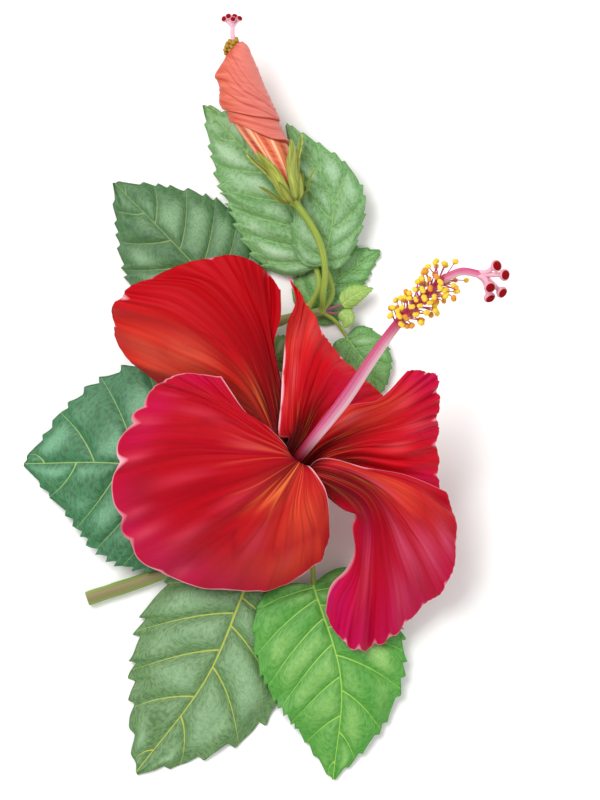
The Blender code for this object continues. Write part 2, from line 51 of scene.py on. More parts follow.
THROAT = np.array([0.0, 0.0, 38.0])
FLOWER_BEARING = math.radians(54)
FLOWER_RISE = math.radians(40)
TUBE_LENGTH = 27.0
CLAW_RADIUS = 3.3
THROAT_RADIUS = 7.5
PETAL_SPREAD = math.radians(76)  # of each petal round the throat, so that neighbours overlap
CLAW_SPREAD = math.radians(58)
OVERLAP_STEP = 1.2  # how far a tucked edge stands outside, and a covering edge inside
TUBE_ROWS = 0.2  # share of a petal's rows that lie inside the tube

TWIG_ROUTE = [(-69, -47, 2.4), (-44, -38, 2.4), (-23, -24, 2.6), (-12, -4, 3.0), (-14, 17, 3.4),
              (-13.5, 33, 3.8), (-9, 41, 4.2), (-3, 43.6, 4.6), (6.5, 45.5, 5.0)]
TWIG_RADII = (2.35, 1.35)  # at the cut and at the growing end
TWIG_NODES = (0.20, 0.27, 0.36, 0.40, 0.63, 0.68, 0.90, 0.955)  # shares along it where stalks leave

# turn is where a petal's middle stands round the throat, in degrees, and spread how much of the
# round it takes, where that isn't PETAL_SPREAD. tuck says for its first and last edge whether the
# edge lies under its neighbour, 1, or over it, -1. Ribs run from the throat out, clockwise from
# above: bearing in degrees, reach and height. A notch in the margin is its place across the petal
# and its depth. A stain is a colour's (across, along, size, strength): where a patch of it is
# centred and how far it spreads, with a fifth number, its length, where it is a long one.
# plain_rim is how far in, in millimetres, the pale rim, a painted highlight, is hidden. Pale stains are
# painted highlights that widen that rim.
# Dark stains are partly the petal's own deep red round the throat and partly painted shade, in the tube and
# along folds.
PETALS = {
    "petal_upper_left": {
        "turn": 4, "spread": 100, "tuck": (1, 1), "seed": 3, "finish": "red_petal",
        "ribs": [
            [(143, 16, -6.0), (151, 32, -12), (156, 46, -21)],
            [(136, 25, -2.5), (147, 46, -7.5), (150, 67, -15)],
            [(127, 32, 4.0), (134, 58, 3.0), (141, 76, -4)],
            [(116, 38, 5.5), (121, 62, 6.5), (131, 74, 2)],
            [(109, 36, 4.5), (110, 54, 8.0), (112, 68, 7)],
            [(107, 32, 3.0), (105, 48, 6.5), (103, 61.5, 8)],
            [(107, 21, -4.2), (104.5, 36, 1.8), (99, 44, 5), (97.5, 52.5, 7)],
        ],
        "notches": [(0.13, 0.8), (0.25, 0.7), (0.37, 3.2), (0.5, 0.8), (0.64, 0.7), (0.9, 0.7)],
        "folds": 0.45, "ruffle": 0.7, "plain_rim": 0.6,
        "stains": {
            "dark_and_shade": [
                (0.42, 0.16, 0.12, 1.0), (0.68, 0.12, 0.26, 1.0), (0.47, 0.34, 0.06, 0.5),
                (0.8, 0.84, 0.1, 0.3),
            ],
            "orange": [
                (0.06, 0.35, 0.14, 1.0), (0.14, 0.62, 0.12, 1.0), (0.2, 0.86, 0.1, 0.8),
                (0.3, 0.25, 0.08, 0.8),
            ],
            "patch_highlight": [
                (0.26, 0.6, 0.06, 0.7, 0.16), (0.18, 0.8, 0.05, 0.8, 0.12), (0.1, 0.5, 0.05, 0.6, 0.2),
            ],
        },
    },
    "petal_top": {
        "turn": -51, "spread": 86, "tuck": (-1, 1), "seed": 11, "finish": "scarlet_petal",
        "ribs": [
            [
                (143, 9.2, 1.2), (113, 17.4, 2.0), (102, 29, -0.4), (96.3, 41.8, -4.2),
                (92.4, 48.6, -6.5), (94.3, 56.5, -9),
            ],
            [(98, 18, 1.0), (92, 35, -3.0), (88.5, 48, -9)],
            [(84, 18, 1.0), (79, 31, -4.0), (75, 35.5, -11)],
            [(68, 17, 0.0), (62, 27, -5.0), (54, 31, -12)],
            [(46, 14, -4.0), (37, 24, -9.0), (33, 32, -16)],
        ],
        "notches": [(0.25, 0.8), (0.42, 1.2), (0.6, 1.0), (0.8, 0.8)],
        "folds": 0.35, "ruffle": 0.5, "plain_rim": 0.6,
        "stains": {
            "dark_and_shade": [
                (0.66, 0.06, 0.28, 1.0), (0.42, 0.0, 0.18, 1.0), (0.5, 0.18, 0.09, 0.5),
                (0.45, 0.75, 0.03, 0.25, 0.3),
            ],
            "orange": [(0.12, 0.66, 0.12, 0.7), (0.3, 0.88, 0.12, 0.5), (0.15, 0.3, 0.08, 0.3)],
            "magenta": [(0.82, 0.72, 0.14, 0.4)],
            "patch_highlight": [
                (0.2, 0.74, 0.07, 0.9, 0.16), (0.22, 0.46, 0.06, 0.9, 0.14),
                (0.35, 0.9, 0.05, 0.5, 0.1), (0.08, 0.25, 0.05, 0.5),
            ],
            "pale": [
                (0.0, 0.15, 0.05, 0.6), (0.0, 0.32, 0.06, 0.9), (0.0, 0.5, 0.05, 0.7),
                (0.0, 0.97, 0.05, 0.6),
            ],
        },
    },
    "petal_right": {
        "turn": -128, "tuck": (-1, 1), "seed": 7, "finish": "scarlet_petal",
        "ribs": [
            [(46, 20.6, 0.5), (35, 29.8, 0.0), (38, 43, -3)],
            [(30, 18, 0.0), (28, 34, 1.0), (30, 49, -6)],
            [(17, 18, 0.5), (16, 33, 2.0), (17, 45, -6)],
            [(4, 18, 0.0), (3, 33, 1.0), (5, 43, -7)],
            [(-17, 18, -5.0), (-17, 33, -6.5), (-18, 46, -13)],
        ],
        "notches": [(0.16, 1.0), (0.36, 1.9), (0.56, 2.2), (0.76, 2.0), (0.9, 1.0)],
        "folds": 0.4, "ruffle": 0.7, "plain_rim": 0.5,
        "stains": {
            "dark_and_shade": [(0.45, 0.0, 0.26, 1.0), (0.88, 0.12, 0.18, 1.0), (0.66, 0.18, 0.11, 0.8)],
            "orange": [(0.16, 0.6, 0.16, 0.9), (0.36, 0.44, 0.12, 0.6), (0.08, 0.35, 0.12, 0.8)],
            "magenta": [
                (0.2, 0.97, 0.18, 1.0), (0.1, 0.82, 0.1, 0.6), (0.6, 0.97, 0.16, 0.5),
                (0.95, 0.9, 0.1, 0.6),
            ],
            "patch_highlight": [
                (0.16, 0.32, 0.09, 1.0, 0.12), (0.72, 0.62, 0.05, 0.8, 0.14),
                (0.55, 0.8, 0.05, 0.7, 0.14), (0.3, 0.7, 0.06, 0.5),
            ],
        },
    },
    "petal_lower_right": {
        "turn": 160, "tuck": (-1, 1), "seed": 5, "finish": "crimson_petal",
        "ribs": [
            [(-13, 21, 1.5), (-12, 34, 1.0), (-15, 48, -6)],
            [(-17, 25, 2.0), (-21, 42, 0.0), (-28, 56, -12)],
            [(-25, 26, 1.5), (-36, 46, -6.0), (-42, 62.5, -19)],
            [(-30, 26, 0.0), (-47, 48, -9.0), (-53, 62.5, -25)],
            [(-34, 26, -1.5), (-55, 46, -12.0), (-65, 65.5, -27)],
            [(-40.5, 25.2, -3.0), (-60, 40.5, -14.5), (-75.5, 64.5, -27)],
            [
                (-61, 15.5, -5.0), (-54, 22.4, -6.5), (-48.5, 25.4, -9), (-56, 28.5, -12.5),
                (-61.5, 35.4, -16), (-69, 39.8, -19), (-78, 43.8, -22), (-81.8, 52, -26),
            ],
        ],
        "notches": [
            (0.2, 0.8), (0.34, 1.2), (0.48, 1.0), (0.58, 1.5), (0.66, 1.7), (0.73, 1.9), (0.8, 1.8),
            (0.87, 1.4),
        ],
        "folds": 0.6, "ruffle": 0.7, "plain_rim": 0.25,
        "stains": {
            "dark_and_shade": [
                (0.57, 0.06, 0.2, 1.0), (0.36, 0.2, 0.11, 0.9), (0.82, 0.14, 0.15, 0.9),
                (0.62, 0.46, 0.03, 0.25, 0.2),
            ],
            "orange": [
                (0.2, 0.45, 0.12, 1.0), (0.16, 0.74, 0.12, 0.5), (0.3, 0.33, 0.08, 0.7),
                (0.1, 0.2, 0.1, 0.7),
            ],
            "magenta": [
                (0.97, 0.9, 0.12, 1.0), (0.85, 0.98, 0.14, 1.0), (0.6, 0.98, 0.18, 0.7),
                (0.29, 0.94, 0.12, 0.5), (0.84, 0.45, 0.1, 0.4),
            ],
            "patch_highlight": [
                (0.46, 0.6, 0.05, 0.9, 0.2), (0.33, 0.75, 0.05, 0.8, 0.15),
                (0.22, 0.88, 0.05, 0.7, 0.1), (0.82, 0.62, 0.04, 0.5, 0.2),
                (0.58, 0.8, 0.04, 0.6, 0.15), (0.26, 0.3, 0.04, 0.5, 0.15),
            ],
            "pale": [
                (1.0, 0.4, 0.05, 1.0), (1.0, 0.54, 0.06, 1.0), (1.0, 0.68, 0.08, 1.0),
                (1.0, 0.84, 0.05, 0.7), (0.0, 0.3, 0.05, 0.7),
            ],
        },
    },
    "petal_lower_left": {
        "turn": 88, "tuck": (-1, -1), "seed": 9, "finish": "carmine_petal",
        "ribs": [
            [(-56, 11.5, 5.0), (-61, 17, 1.5), (-71.5, 28, -10)],
            [(-85, 15, 5.5), (-80, 25, -2.5), (-81.5, 35.5, -15)],
            [(-107, 17, 6.0), (-106, 33, -5.0), (-107, 46.3, -23)],
            [(-137, 20, 7.5), (-142, 42, -4.0), (-144, 61, -22)],
            [(-177, 21, 9.0), (-176, 42, -1.0), (-172, 60, -15)],
            [(-204, 19, 10.5), (-205, 36, 3.0), (-200, 52.5, -9)],
            [(-212, 17, 10.5), (-213, 33, 7.0), (-212, 47, -1)],
            [(-217, 13, 9.5), (-216, 22, 9.5), (-221, 30, 8), (-223.5, 35.5, 6)],
        ],
        "notches": [
            (0.18, 0.5), (0.33, 0.9), (0.41, 1.4), (0.478, 2.1), (0.512, 2.9), (0.6, 4.6), (0.665, 3.8),
            (0.695, 1.6), (0.8, 0.6),
        ],
        "folds": 0.6, "ruffle": 0.7, "plain_rim": 0.0,
        "stains": {
            "dark_and_shade": [
                (0.4, 0.04, 0.12, 0.8), (0.39, 0.74, 0.03, 0.18, 0.2), (0.54, 0.84, 0.03, 0.3, 0.12),
                (0.6, 0.55, 0.04, 0.15, 0.3),
            ],
            "orange": [
                (0.15, 0.4, 0.15, 1.0), (0.2, 0.75, 0.13, 0.9), (0.33, 0.14, 0.12, 0.8),
                (0.04, 0.6, 0.12, 0.8),
            ],
            "magenta": [
                (0.68, 0.92, 0.09, 0.7), (0.38, 0.92, 0.12, 0.8), (0.9, 0.95, 0.1, 0.6),
                (0.5, 0.99, 0.1, 0.7),
            ],
            "patch_highlight": [
                (0.7, 0.6, 0.015, 0.6, 0.16), (0.93, 0.5, 0.03, 0.5, 0.12),
                (0.64, 0.24, 0.03, 0.7, 0.1), (0.45, 0.34, 0.02, 0.6, 0.14),
                (0.44, 0.66, 0.012, 0.8, 0.16), (0.33, 0.54, 0.018, 0.6, 0.14),
                (0.39, 0.93, 0.01, 0.9, 0.08), (0.478, 0.88, 0.008, 1.0, 0.12),
                (0.512, 0.9, 0.007, 0.9, 0.09), (0.6, 0.9, 0.008, 1.0, 0.1),
                (0.667, 0.9, 0.009, 1.0, 0.1), (0.54, 0.6, 0.012, 0.5, 0.2),
                (0.84, 0.72, 0.02, 0.4, 0.1), (0.24, 0.7, 0.02, 0.4, 0.12),
                (0.74, 0.86, 0.012, 0.5, 0.1),
            ],
            "pale": [(0.95, 0.78, 0.05, 0.3), (1.0, 0.4, 0.04, 0.4)],
        },
    },
}

COLUMN_ROUTE = [(-0.8, -1.0, 37.6), (13.5, 17.0, 53.5), (24.0, 32.5, 67.5), (32.0, 43.0, 76.0),
                (45.5, 56.0, 86.0)]
COLUMN_RADII = [(0.0, 1.7), (0.2, 1.7), (0.45, 2.05), (1.0, 1.2)]  # share along it, radius
COLUMN_SHADE_TURN = 1.3  # where round the column and the style its rose side is, in radians
STAMEN_SHARES = (0.765, 0.975)  # where along the column the first and the last stamen stand
STAMEN_COUNT = 92
ANTHER_RADIUS = 1.08
STIGMA_RADIUS = 1.95
STYLE_ROUTE = [(50.6, 57.7, 89.8), (56.5, 56.8, 92.5)]
STYLE_TIPS = [(61.4, 59.4, 95.5), (64.0, 56.6, 95.0), (59.4, 52.8, 96.0), (63.2, 51.2, 92.5),
              (59.4, 49.6, 91.0)]

# Leaf: its share along the twig, stalk points, the blade's base, middle and tip, and half widths to
# the left and right of the way it points. lobe is how far its foot runs back past the stalk, as a
# share of its length, droop how far its sides hang, tooth the reach of a tooth, teeth how many it
# has on each side, where that isn't two for each of its side veins.
LEAVES = {
    "leaf_left": {
        "twig_share": 0.36, "stalk": [(-28, -20, 8)],
        "blade": [(-28, -9, 10.5), (-58, -3.5, 9.5), (-89.5, -3.5, 1.0)],
        "widths": (33, 35), "lobe": 0.08, "droop": 3.5,
        "tooth": 1.8, "teeth": 15, "veins": 6, "finish": "leaf_deep",
    },
    "leaf_upper_left": {
        "twig_share": 0.68, "stalk": [(-19.5, 34, 5.5)],
        "blade": [(-21, 45, 4.5), (-38, 64, 4.0), (-60.5, 87, 0.8)],
        "widths": (22, 22), "lobe": 0.04, "droop": 2.6,
        "tooth": 1.3, "veins": 7, "finish": "leaf_grey_green",
    },
    "leaf_behind": {
        "twig_share": 0.63, "stalk": [(-12, 27, 6.5)],
        "blade": [(-11, 29, 7), (-5, 32.5, 8), (2, 36.5, 6)],
        "widths": (6, 5.5), "lobe": 0.0, "droop": 1.0,
        "tooth": 0.4, "veins": 5, "finish": "leaf_mid",
    },
    "leaf_top_left": {
        "twig_share": 0.955, "stalk": [(5.3, 53, 6)],
        "blade": [(4.6, 60, 5.4), (-6, 82, 6.5), (-31.5, 112, 2.6)],
        "widths": (18.5, 14), "lobe": 0.03, "droop": 2.0,
        "tooth": 1.5, "veins": 7, "finish": "leaf_sage",
    },
    "leaf_top_right": {
        "twig_share": 1.0, "stalk": [(9.8, 51.5, 5.2)],
        "blade": [(7.2, 60.5, 8.0), (9.5, 82, 10.2), (-5, 106, 9.8)],
        "widths": (13, 9.5), "lobe": 0.06, "droop": 1.0,
        "tooth": 0.9, "veins": 6, "finish": "leaf_sage",
    },
    "leaf_right_upper": {
        "twig_share": 0.9, "stalk": [(1.5, 43, 1.6)],
        "blade": [(3, 44, 1.2), (12, 56, 1.8), (25.3, 65, 1.0)],
        "widths": (11.5, 9), "lobe": 0.06, "droop": 0.4,
        "tooth": 1.0, "veins": 6, "finish": "leaf_mid",
    },
    "leaf_right_lower": {
        "twig_share": 1.0, "stalk": [(11, 42, 4)],
        "blade": [(14.5, 37, 3.5), (21.5, 27, 4.0), (24, 16.5, 1.5)],
        "widths": (9, 8), "lobe": 0.1, "droop": 1.0,
        "tooth": 0.8, "veins": 5, "finish": "leaf_mid",
    },
    "leaf_lower_left": {
        "twig_share": 0.27, "stalk": [(-24, -37, 4)],
        "blade": [(-18, -43, 4.5), (-31, -73, 3.0), (-53.5, -103, 0.8)],
        "widths": (25, 27), "lobe": 0.06, "droop": 2.0,
        "tooth": 2.4, "teeth": 9, "veins": 5, "finish": "leaf_olive",
    },
    "leaf_lower_middle": {
        "twig_share": 0.4, "stalk": [(-6, -20, 6), (2.5, -33, 7)],
        "blade": [(3.6, -42.5, 7.5), (12.5, -73, 6.6), (10, -105.3, 0.8)],
        "widths": (22, 25), "lobe": 0.09, "droop": 2.0,
        "tooth": 1.4, "veins": 7, "finish": "leaf_lime",
    },
    "young_leaf_outer": {
        "twig_share": 1.0, "stalk": [(11.0, 47.0, 6.0)],
        "blade": [(13.0, 47.6, 6.6), (17.5, 50.8, 7.6), (23, 52.8, 6.6)],
        "widths": (3.6, 2.8), "lobe": 0.05, "droop": 0.8,
        "tooth": 0.45, "veins": 4, "finish": "leaf_tender",
    },
    "young_leaf_inner": {
        "twig_share": 1.0, "stalk": [(10.4, 44.8, 5.4)],
        "blade": [(12.6, 45.4, 6.0), (14.6, 42.8, 6.6), (13.0, 39.8, 6.2)],
        "widths": (2.8, 2.2), "lobe": 0.05, "droop": 0.5,
        "tooth": 0.3, "veins": 4, "finish": "leaf_tender",
    },
}

BUD_BASE = np.array([-2.4, 80.6, 16.5])
BUD_DIRECTION = np.array([-0.335, 0.94, 0.06])
BUD_BOW = 3.7  # how far it stands to the left of a straight line, most of all two thirds of the way up
BUD_STALK_ROUTE = [(6.7, 50, 9.5), (7.4, 58.5, 12.5), (6.2, 66, 14.0), (3.0, 73, 15.2)]
FURLED_OUTLINE = [(1.8, 1.7), (5, 2.4), (10, 3.9), (14, 4.8), (19.6, 5.6), (25, 6.3), (30, 6.8),
                  (35.4, 7.0), (43.5, 6.4), (48.4, 4.9), (52.2, 3.3), (54.2, 1.4)]  # along, radius
FURLED_FLAPS = [(47.0, 2.4, 2.3), (38.0, 3.0, 1.1)]  # loose folds: how far along, length and rise
# Where a furled petal's edge, or a crease, crosses the front: how far along, its slope and its rise.
FURLED_EDGES = [(24.0, 1.02, 0.95), (30.8, 0.70, 0.75)]
FURLED_CREASES = [(27.5, 0.85, 0.20), (34.5, 1.15, 0.36), (37.5, 1.4, 0.18), (41.0, 1.7, 0.36),
                  (44.0, 1.9, 0.20), (47.5, 2.1, 0.25)]
CLOSED_SCALE = 0.72  # of the closed flower's calyx and epicalyx
CLOSED_STIGMAS = [(1.6, 3.4, 0.6), (0.1, 3.7, 0.9), (-1.7, 3.0, 0.2), (-2.9, 1.9, 0.7), (-0.9, 2.3, 1.6)]
FLOWER_STALK_ROUTE = [(-27.5, -30.5, 6.5), (-20, -26.5, 11.5)]

PETAL_THICKNESS = 0.45
LEAF_THICKNESS = 0.42
SEPAL_THICKNESS = 0.5
MARGIN_SHARE = 0.35  # of a sheet's thickness that is left at its margin


# ---------------------------------------------------------------- lines and surfaces

def unit(vector):
    """The same way, one long."""
    return vector / np.linalg.norm(vector)


def chords(points):
    """Each point's share of the way along the straight lines that join them."""
    steps = np.linalg.norm(np.diff(points, axis=0), axis=1)
    return np.concatenate([[0], np.cumsum(steps)]) / steps.sum()


def spline(points, places):
    """A smooth line through the points, read at places from 0 to 1 along it."""
    points = np.asarray(points, float)
    knots = chords(points)
    slopes = np.empty_like(points)
    slopes[0] = (points[1] - points[0]) / (knots[1] - knots[0])
    slopes[-1] = (points[-1] - points[-2]) / (knots[-1] - knots[-2])
    slopes[1:-1] = (points[2:] - points[:-2]) / (knots[2:] - knots[:-2])[:, None]
    places = np.clip(np.asarray(places, float), 0, 1)
    left = np.clip(np.searchsorted(knots, places, side="right") - 1, 0, len(points) - 2)
    width = (knots[left + 1] - knots[left])[:, None]
    t = (places - knots[left])[:, None] / width
    return (
        (2 * t**3 - 3 * t**2 + 1) * points[left] + (t**3 - 2 * t**2 + t) * width * slopes[left]
        + (3 * t**2 - 2 * t**3) * points[left + 1] + (t**3 - t**2) * width * slopes[left + 1]
    )


def smooth(x, low=0.0, high=1.0):
    """0 below low, 1 above high, and an easy rise between them."""
    t = np.clip((x - low) / (high - low), 0, 1)
    return t * t * (3 - 2 * t)


def waves(x, seed, low, high, count=6):
    """An uneven wave of about -1 to 1, made of waves with low to high turns as x goes 0 to 1."""
    dice = np.random.default_rng(seed)
    turns = dice.uniform(low, high, count)
    starts = dice.uniform(0, 2 * math.pi, count)
    each = (np.sin(2 * math.pi * turn * x + start) for turn, start in zip(turns, starts))
    return sum(each) / math.sqrt(count)


def lean(bearing, rise):
    """Three square ways: along a bearing and a rise, level across it, and up from both."""
    along = np.array([math.cos(rise) * math.cos(bearing), math.cos(rise) * math.sin(bearing), math.sin(rise)])
    across = np.array([-math.sin(bearing), math.cos(bearing), 0.0])
    return along, across, np.cross(along, across)


FLOWER_AXIS, FLOWER_SIDE, FLOWER_TOP = lean(FLOWER_BEARING, FLOWER_RISE)


def grid_faces(rows, columns, wrap=False, start=0, flip=False):
    """Quads of a grid of points numbered row by row from start, joined round if wrap."""
    r, c = np.meshgrid(np.arange(rows - 1), np.arange(columns if wrap else columns - 1), indexing="ij")
    here, above, after = r * columns, (r + 1) * columns, (c + 1) % columns
    quads = np.stack([here + c, here + after, above + after, above + c], -1).reshape(-1, 4) + start
    return (quads[:, ::-1] if flip else quads).tolist()


def grid_normals(grid, wrap=False):
    """The way out of a grid's upper face, at each of its points."""
    if wrap:
        across = np.roll(grid, -1, axis=1) - np.roll(grid, 1, axis=1)
    else:
        across = np.gradient(grid, axis=1)
    out = np.cross(across, np.gradient(grid, axis=0))
    return out / np.maximum(np.linalg.norm(out, axis=2, keepdims=True), 1e-9)


def edge_distance(grid):
    """How far each point of a petal or leaf is from its margin, in millimetres."""
    along = np.linalg.norm(np.diff(grid, axis=0), axis=2)
    across = np.linalg.norm(np.diff(grid, axis=1), axis=2)
    to_tip = np.vstack([np.cumsum(along[::-1], axis=0)[::-1], np.zeros(grid.shape[1])])
    from_left = np.hstack([np.zeros((grid.shape[0], 1)), np.cumsum(across, axis=1)])
    to_right = from_left[:, -1:] - from_left
    return np.minimum(np.minimum(from_left, to_right), to_tip)


# ---------------------------------------------------------------- shells: the parts of a piece

def shell(points, faces, lay, stain=None, finish=0):
    """One closed skin of a piece. lay is what its finish is laid out by, and stain its colours."""
    count = len(points)
    return {
        "points": points, "faces": faces, "lay": np.asarray(lay, float).reshape(count, 3),
        "stain": np.zeros((count, 4)) if stain is None else stain.reshape(count, 4), "finish": finish,
    }


def sheet_shell(grid, thickness, lay, stain, wrap=False, thin_edge=1.5, finish=0):
    """A closed thin sheet round a grid of points, which thins towards its margin."""
    rows, columns = grid.shape[:2]
    out = grid_normals(grid, wrap)
    edge = edge_distance(grid) if thin_edge else np.full((rows, columns), 9.0)
    half = thickness / 2 * (MARGIN_SHARE + (1 - MARGIN_SHARE) * smooth(edge, 0, thin_edge or 1))[..., None]
    points = np.concatenate([(grid + half * out).reshape(-1, 3), (grid - half * out).reshape(-1, 3)])
    below = rows * columns
    faces = grid_faces(rows, columns, wrap) + grid_faces(rows, columns, wrap, below, flip=True)
    index = np.arange(below).reshape(rows, columns)
    if wrap:
        rims = [np.append(index[0], index[0][0])[::-1], np.append(index[-1], index[-1][0])]
    else:
        rims = [np.concatenate([index[0, ::-1], index[1:, 0], index[-1, 1:], index[-2::-1, -1]])]
    for rim in rims:
        faces += [(b, a, a + below, b + below) for a, b in zip(rim[:-1].tolist(), rim[1:].tolist())]
    if stain is None:
        stain = np.zeros((rows, columns, 4))
    under = stain.copy()
    under[..., 3] = 1.0
    both = np.concatenate([stain.reshape(-1, 4), under.reshape(-1, 4)])
    return shell(points, faces, np.concatenate([lay.reshape(-1, 3)] * 2), both, finish)


def rings_along(line, radii, sides, section=None):
    """Rings of points square to a line. section gives each ring's shape as a share of its radius."""
    line = np.asarray(line, float)
    ways = np.gradient(line, axis=0)
    ways /= np.linalg.norm(ways, axis=1)[:, None]
    start = np.array([0.0, 0.0, 1.0]) if abs(ways[0][2]) < 0.9 else np.array([1.0, 0.0, 0.0])
    turns = np.linspace(0, 2 * math.pi, sides, endpoint=False)
    shape = np.ones(sides) if section is None else section(turns)
    rings, up = [], start
    for centre, way, radius in zip(line, ways, radii):
        up = unit(up - way * (up @ way))
        side = np.cross(way, up)
        rings.append(centre + np.outer(radius * shape * np.cos(turns), up)
                     + np.outer(radius * shape * np.sin(turns), side))
    return np.array(rings)


def tube_shell(line, radii, sides, section=None, round_ends=True, finish=0):
    """A tube along a line. lay: share round it from its top, share along it, height on its side."""
    line, radii = np.asarray(line, float), np.asarray(radii, float)
    if round_ends:
        steps = np.array([0.0, 0.5, 0.85])
        head = unit(line[1] - line[0])
        tail = unit(line[-1] - line[-2])
        before = [line[0] - head * radii[0] * math.sqrt(1 - s * s) * 0.9 for s in steps]
        after = [line[-1] + tail * radii[-1] * math.sqrt(1 - s * s) * 0.9 for s in steps[::-1]]
        line = np.vstack([before, line, after])
        shares = np.maximum(steps, 0.05)
        radii = np.concatenate([radii[0] * shares, radii, radii[-1] * shares[::-1]])
    rings = rings_along(line, radii, sides, section)
    rows = len(rings)
    faces = grid_faces(rows, sides, wrap=True, flip=True)
    faces += [tuple(range(sides)), tuple(reversed(range((rows - 1) * sides, rows * sides)))]
    around, along = np.meshgrid(np.arange(sides) / sides, chords(line), indexing="xy")
    lay = np.stack([around, along, np.cos(2 * math.pi * around)], -1)
    return shell(rings.reshape(-1, 3), faces, lay.reshape(-1, 3), finish=finish)


def build(name, shells, finishes):
    """Makes one piece from its shells, and says that it stands for the CAD node of its name."""
    faces, start = [], 0
    for part in shells:
        faces += [tuple(np.asarray(face) + start) for face in part["faces"]]
        start += len(part["points"])
    points = np.concatenate([part["points"] for part in shells])
    mesh = bpy.data.meshes.new(name)
    mesh.from_pydata(((points + ROW_SHIFT) * MM).tolist(), [], faces)
    for key, kind, field in (("lay", "FLOAT_VECTOR", "vector"), ("stain", "FLOAT_COLOR", "color")):
        attribute = mesh.attributes.new(key, kind, "POINT")
        numbers = np.concatenate([part[key] for part in shells])
        attribute.data.foreach_set(field, numbers.astype(np.float32).ravel())
    for finish in finishes:
        mesh.materials.append(bpy.data.materials[finish])
    counts = [len(part["faces"]) for part in shells]
    mesh.polygons.foreach_set("material_index", np.repeat([part["finish"] for part in shells], counts))
    mesh.shade_smooth()
    mesh.update()
    piece = bpy.data.objects.new(name + ".look", mesh)
    bpy.context.scene.collection.objects.link(piece)
    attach(piece, "root")
    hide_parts(name)


# ---------------------------------------------------------------- finishes

def linear(hex_colour):
    """An sRGB hex colour as linear red, green, blue and alpha."""
    parts = [int(hex_colour[i:i + 2], 16) / 255 for i in (1, 3, 5)]
    return (*[p / 12.92 if p <= 0.04045 else ((p + 0.055) / 1.055) ** 2.4 for p in parts], 1.0)


def add(tree, kind, inputs=None, **settings):
    """Adds a node with its settings. inputs gives each input a value, or another node's output."""
    made = tree.nodes.new(kind)
    for name, value in settings.items():
        setattr(made, name, value)
    for slot, value in (inputs or {}).items():
        if isinstance(value, bpy.types.NodeSocket):
            tree.links.new(value, made.inputs[slot])
        else:
            made.inputs[slot].default_value = value
    return made


def start_finish(name):
    """An empty material's node tree and its shader."""
    material = bpy.data.materials.new(name)
    material.use_nodes = True
    tree = material.node_tree
    return tree, tree.nodes["Principled BSDF"]


def read_layout(tree):
    """What a piece is laid out by: lay, its three parts, and the four parts of stain."""
    lay = add(tree, "ShaderNodeAttribute", attribute_name="lay").outputs["Vector"]
    stain = add(tree, "ShaderNodeAttribute", attribute_name="stain")
    parts = add(tree, "ShaderNodeSeparateXYZ", {0: lay}).outputs
    stains = add(tree, "ShaderNodeSeparateColor", {0: stain.outputs["Color"]}).outputs
    return lay, parts, [*stains, stain.outputs["Alpha"]]


def lay_coats(tree, paint, coats):
    """Lays one colour after another over the paint, each by its own share, and gives the result."""
    for share, colour in coats:
        slots = {0: share, 6: paint, 7: linear(colour)}
        paint = add(tree, "ShaderNodeMix", slots, data_type="RGBA").outputs[2]
    return paint


def dress(tree, shader, paint, rough, relief, strength, depth):
    """Gives the shader its colour, its roughness, and a bump as deep as depth, in metres."""
    bump = add(tree, "ShaderNodeBump", {"Height": relief, "Strength": strength, "Distance": depth})
    tree.links.new(paint, shader.inputs["Base Color"])
    tree.links.new(rough, shader.inputs["Roughness"])
    tree.links.new(bump.outputs[0], shader.inputs["Normal"])


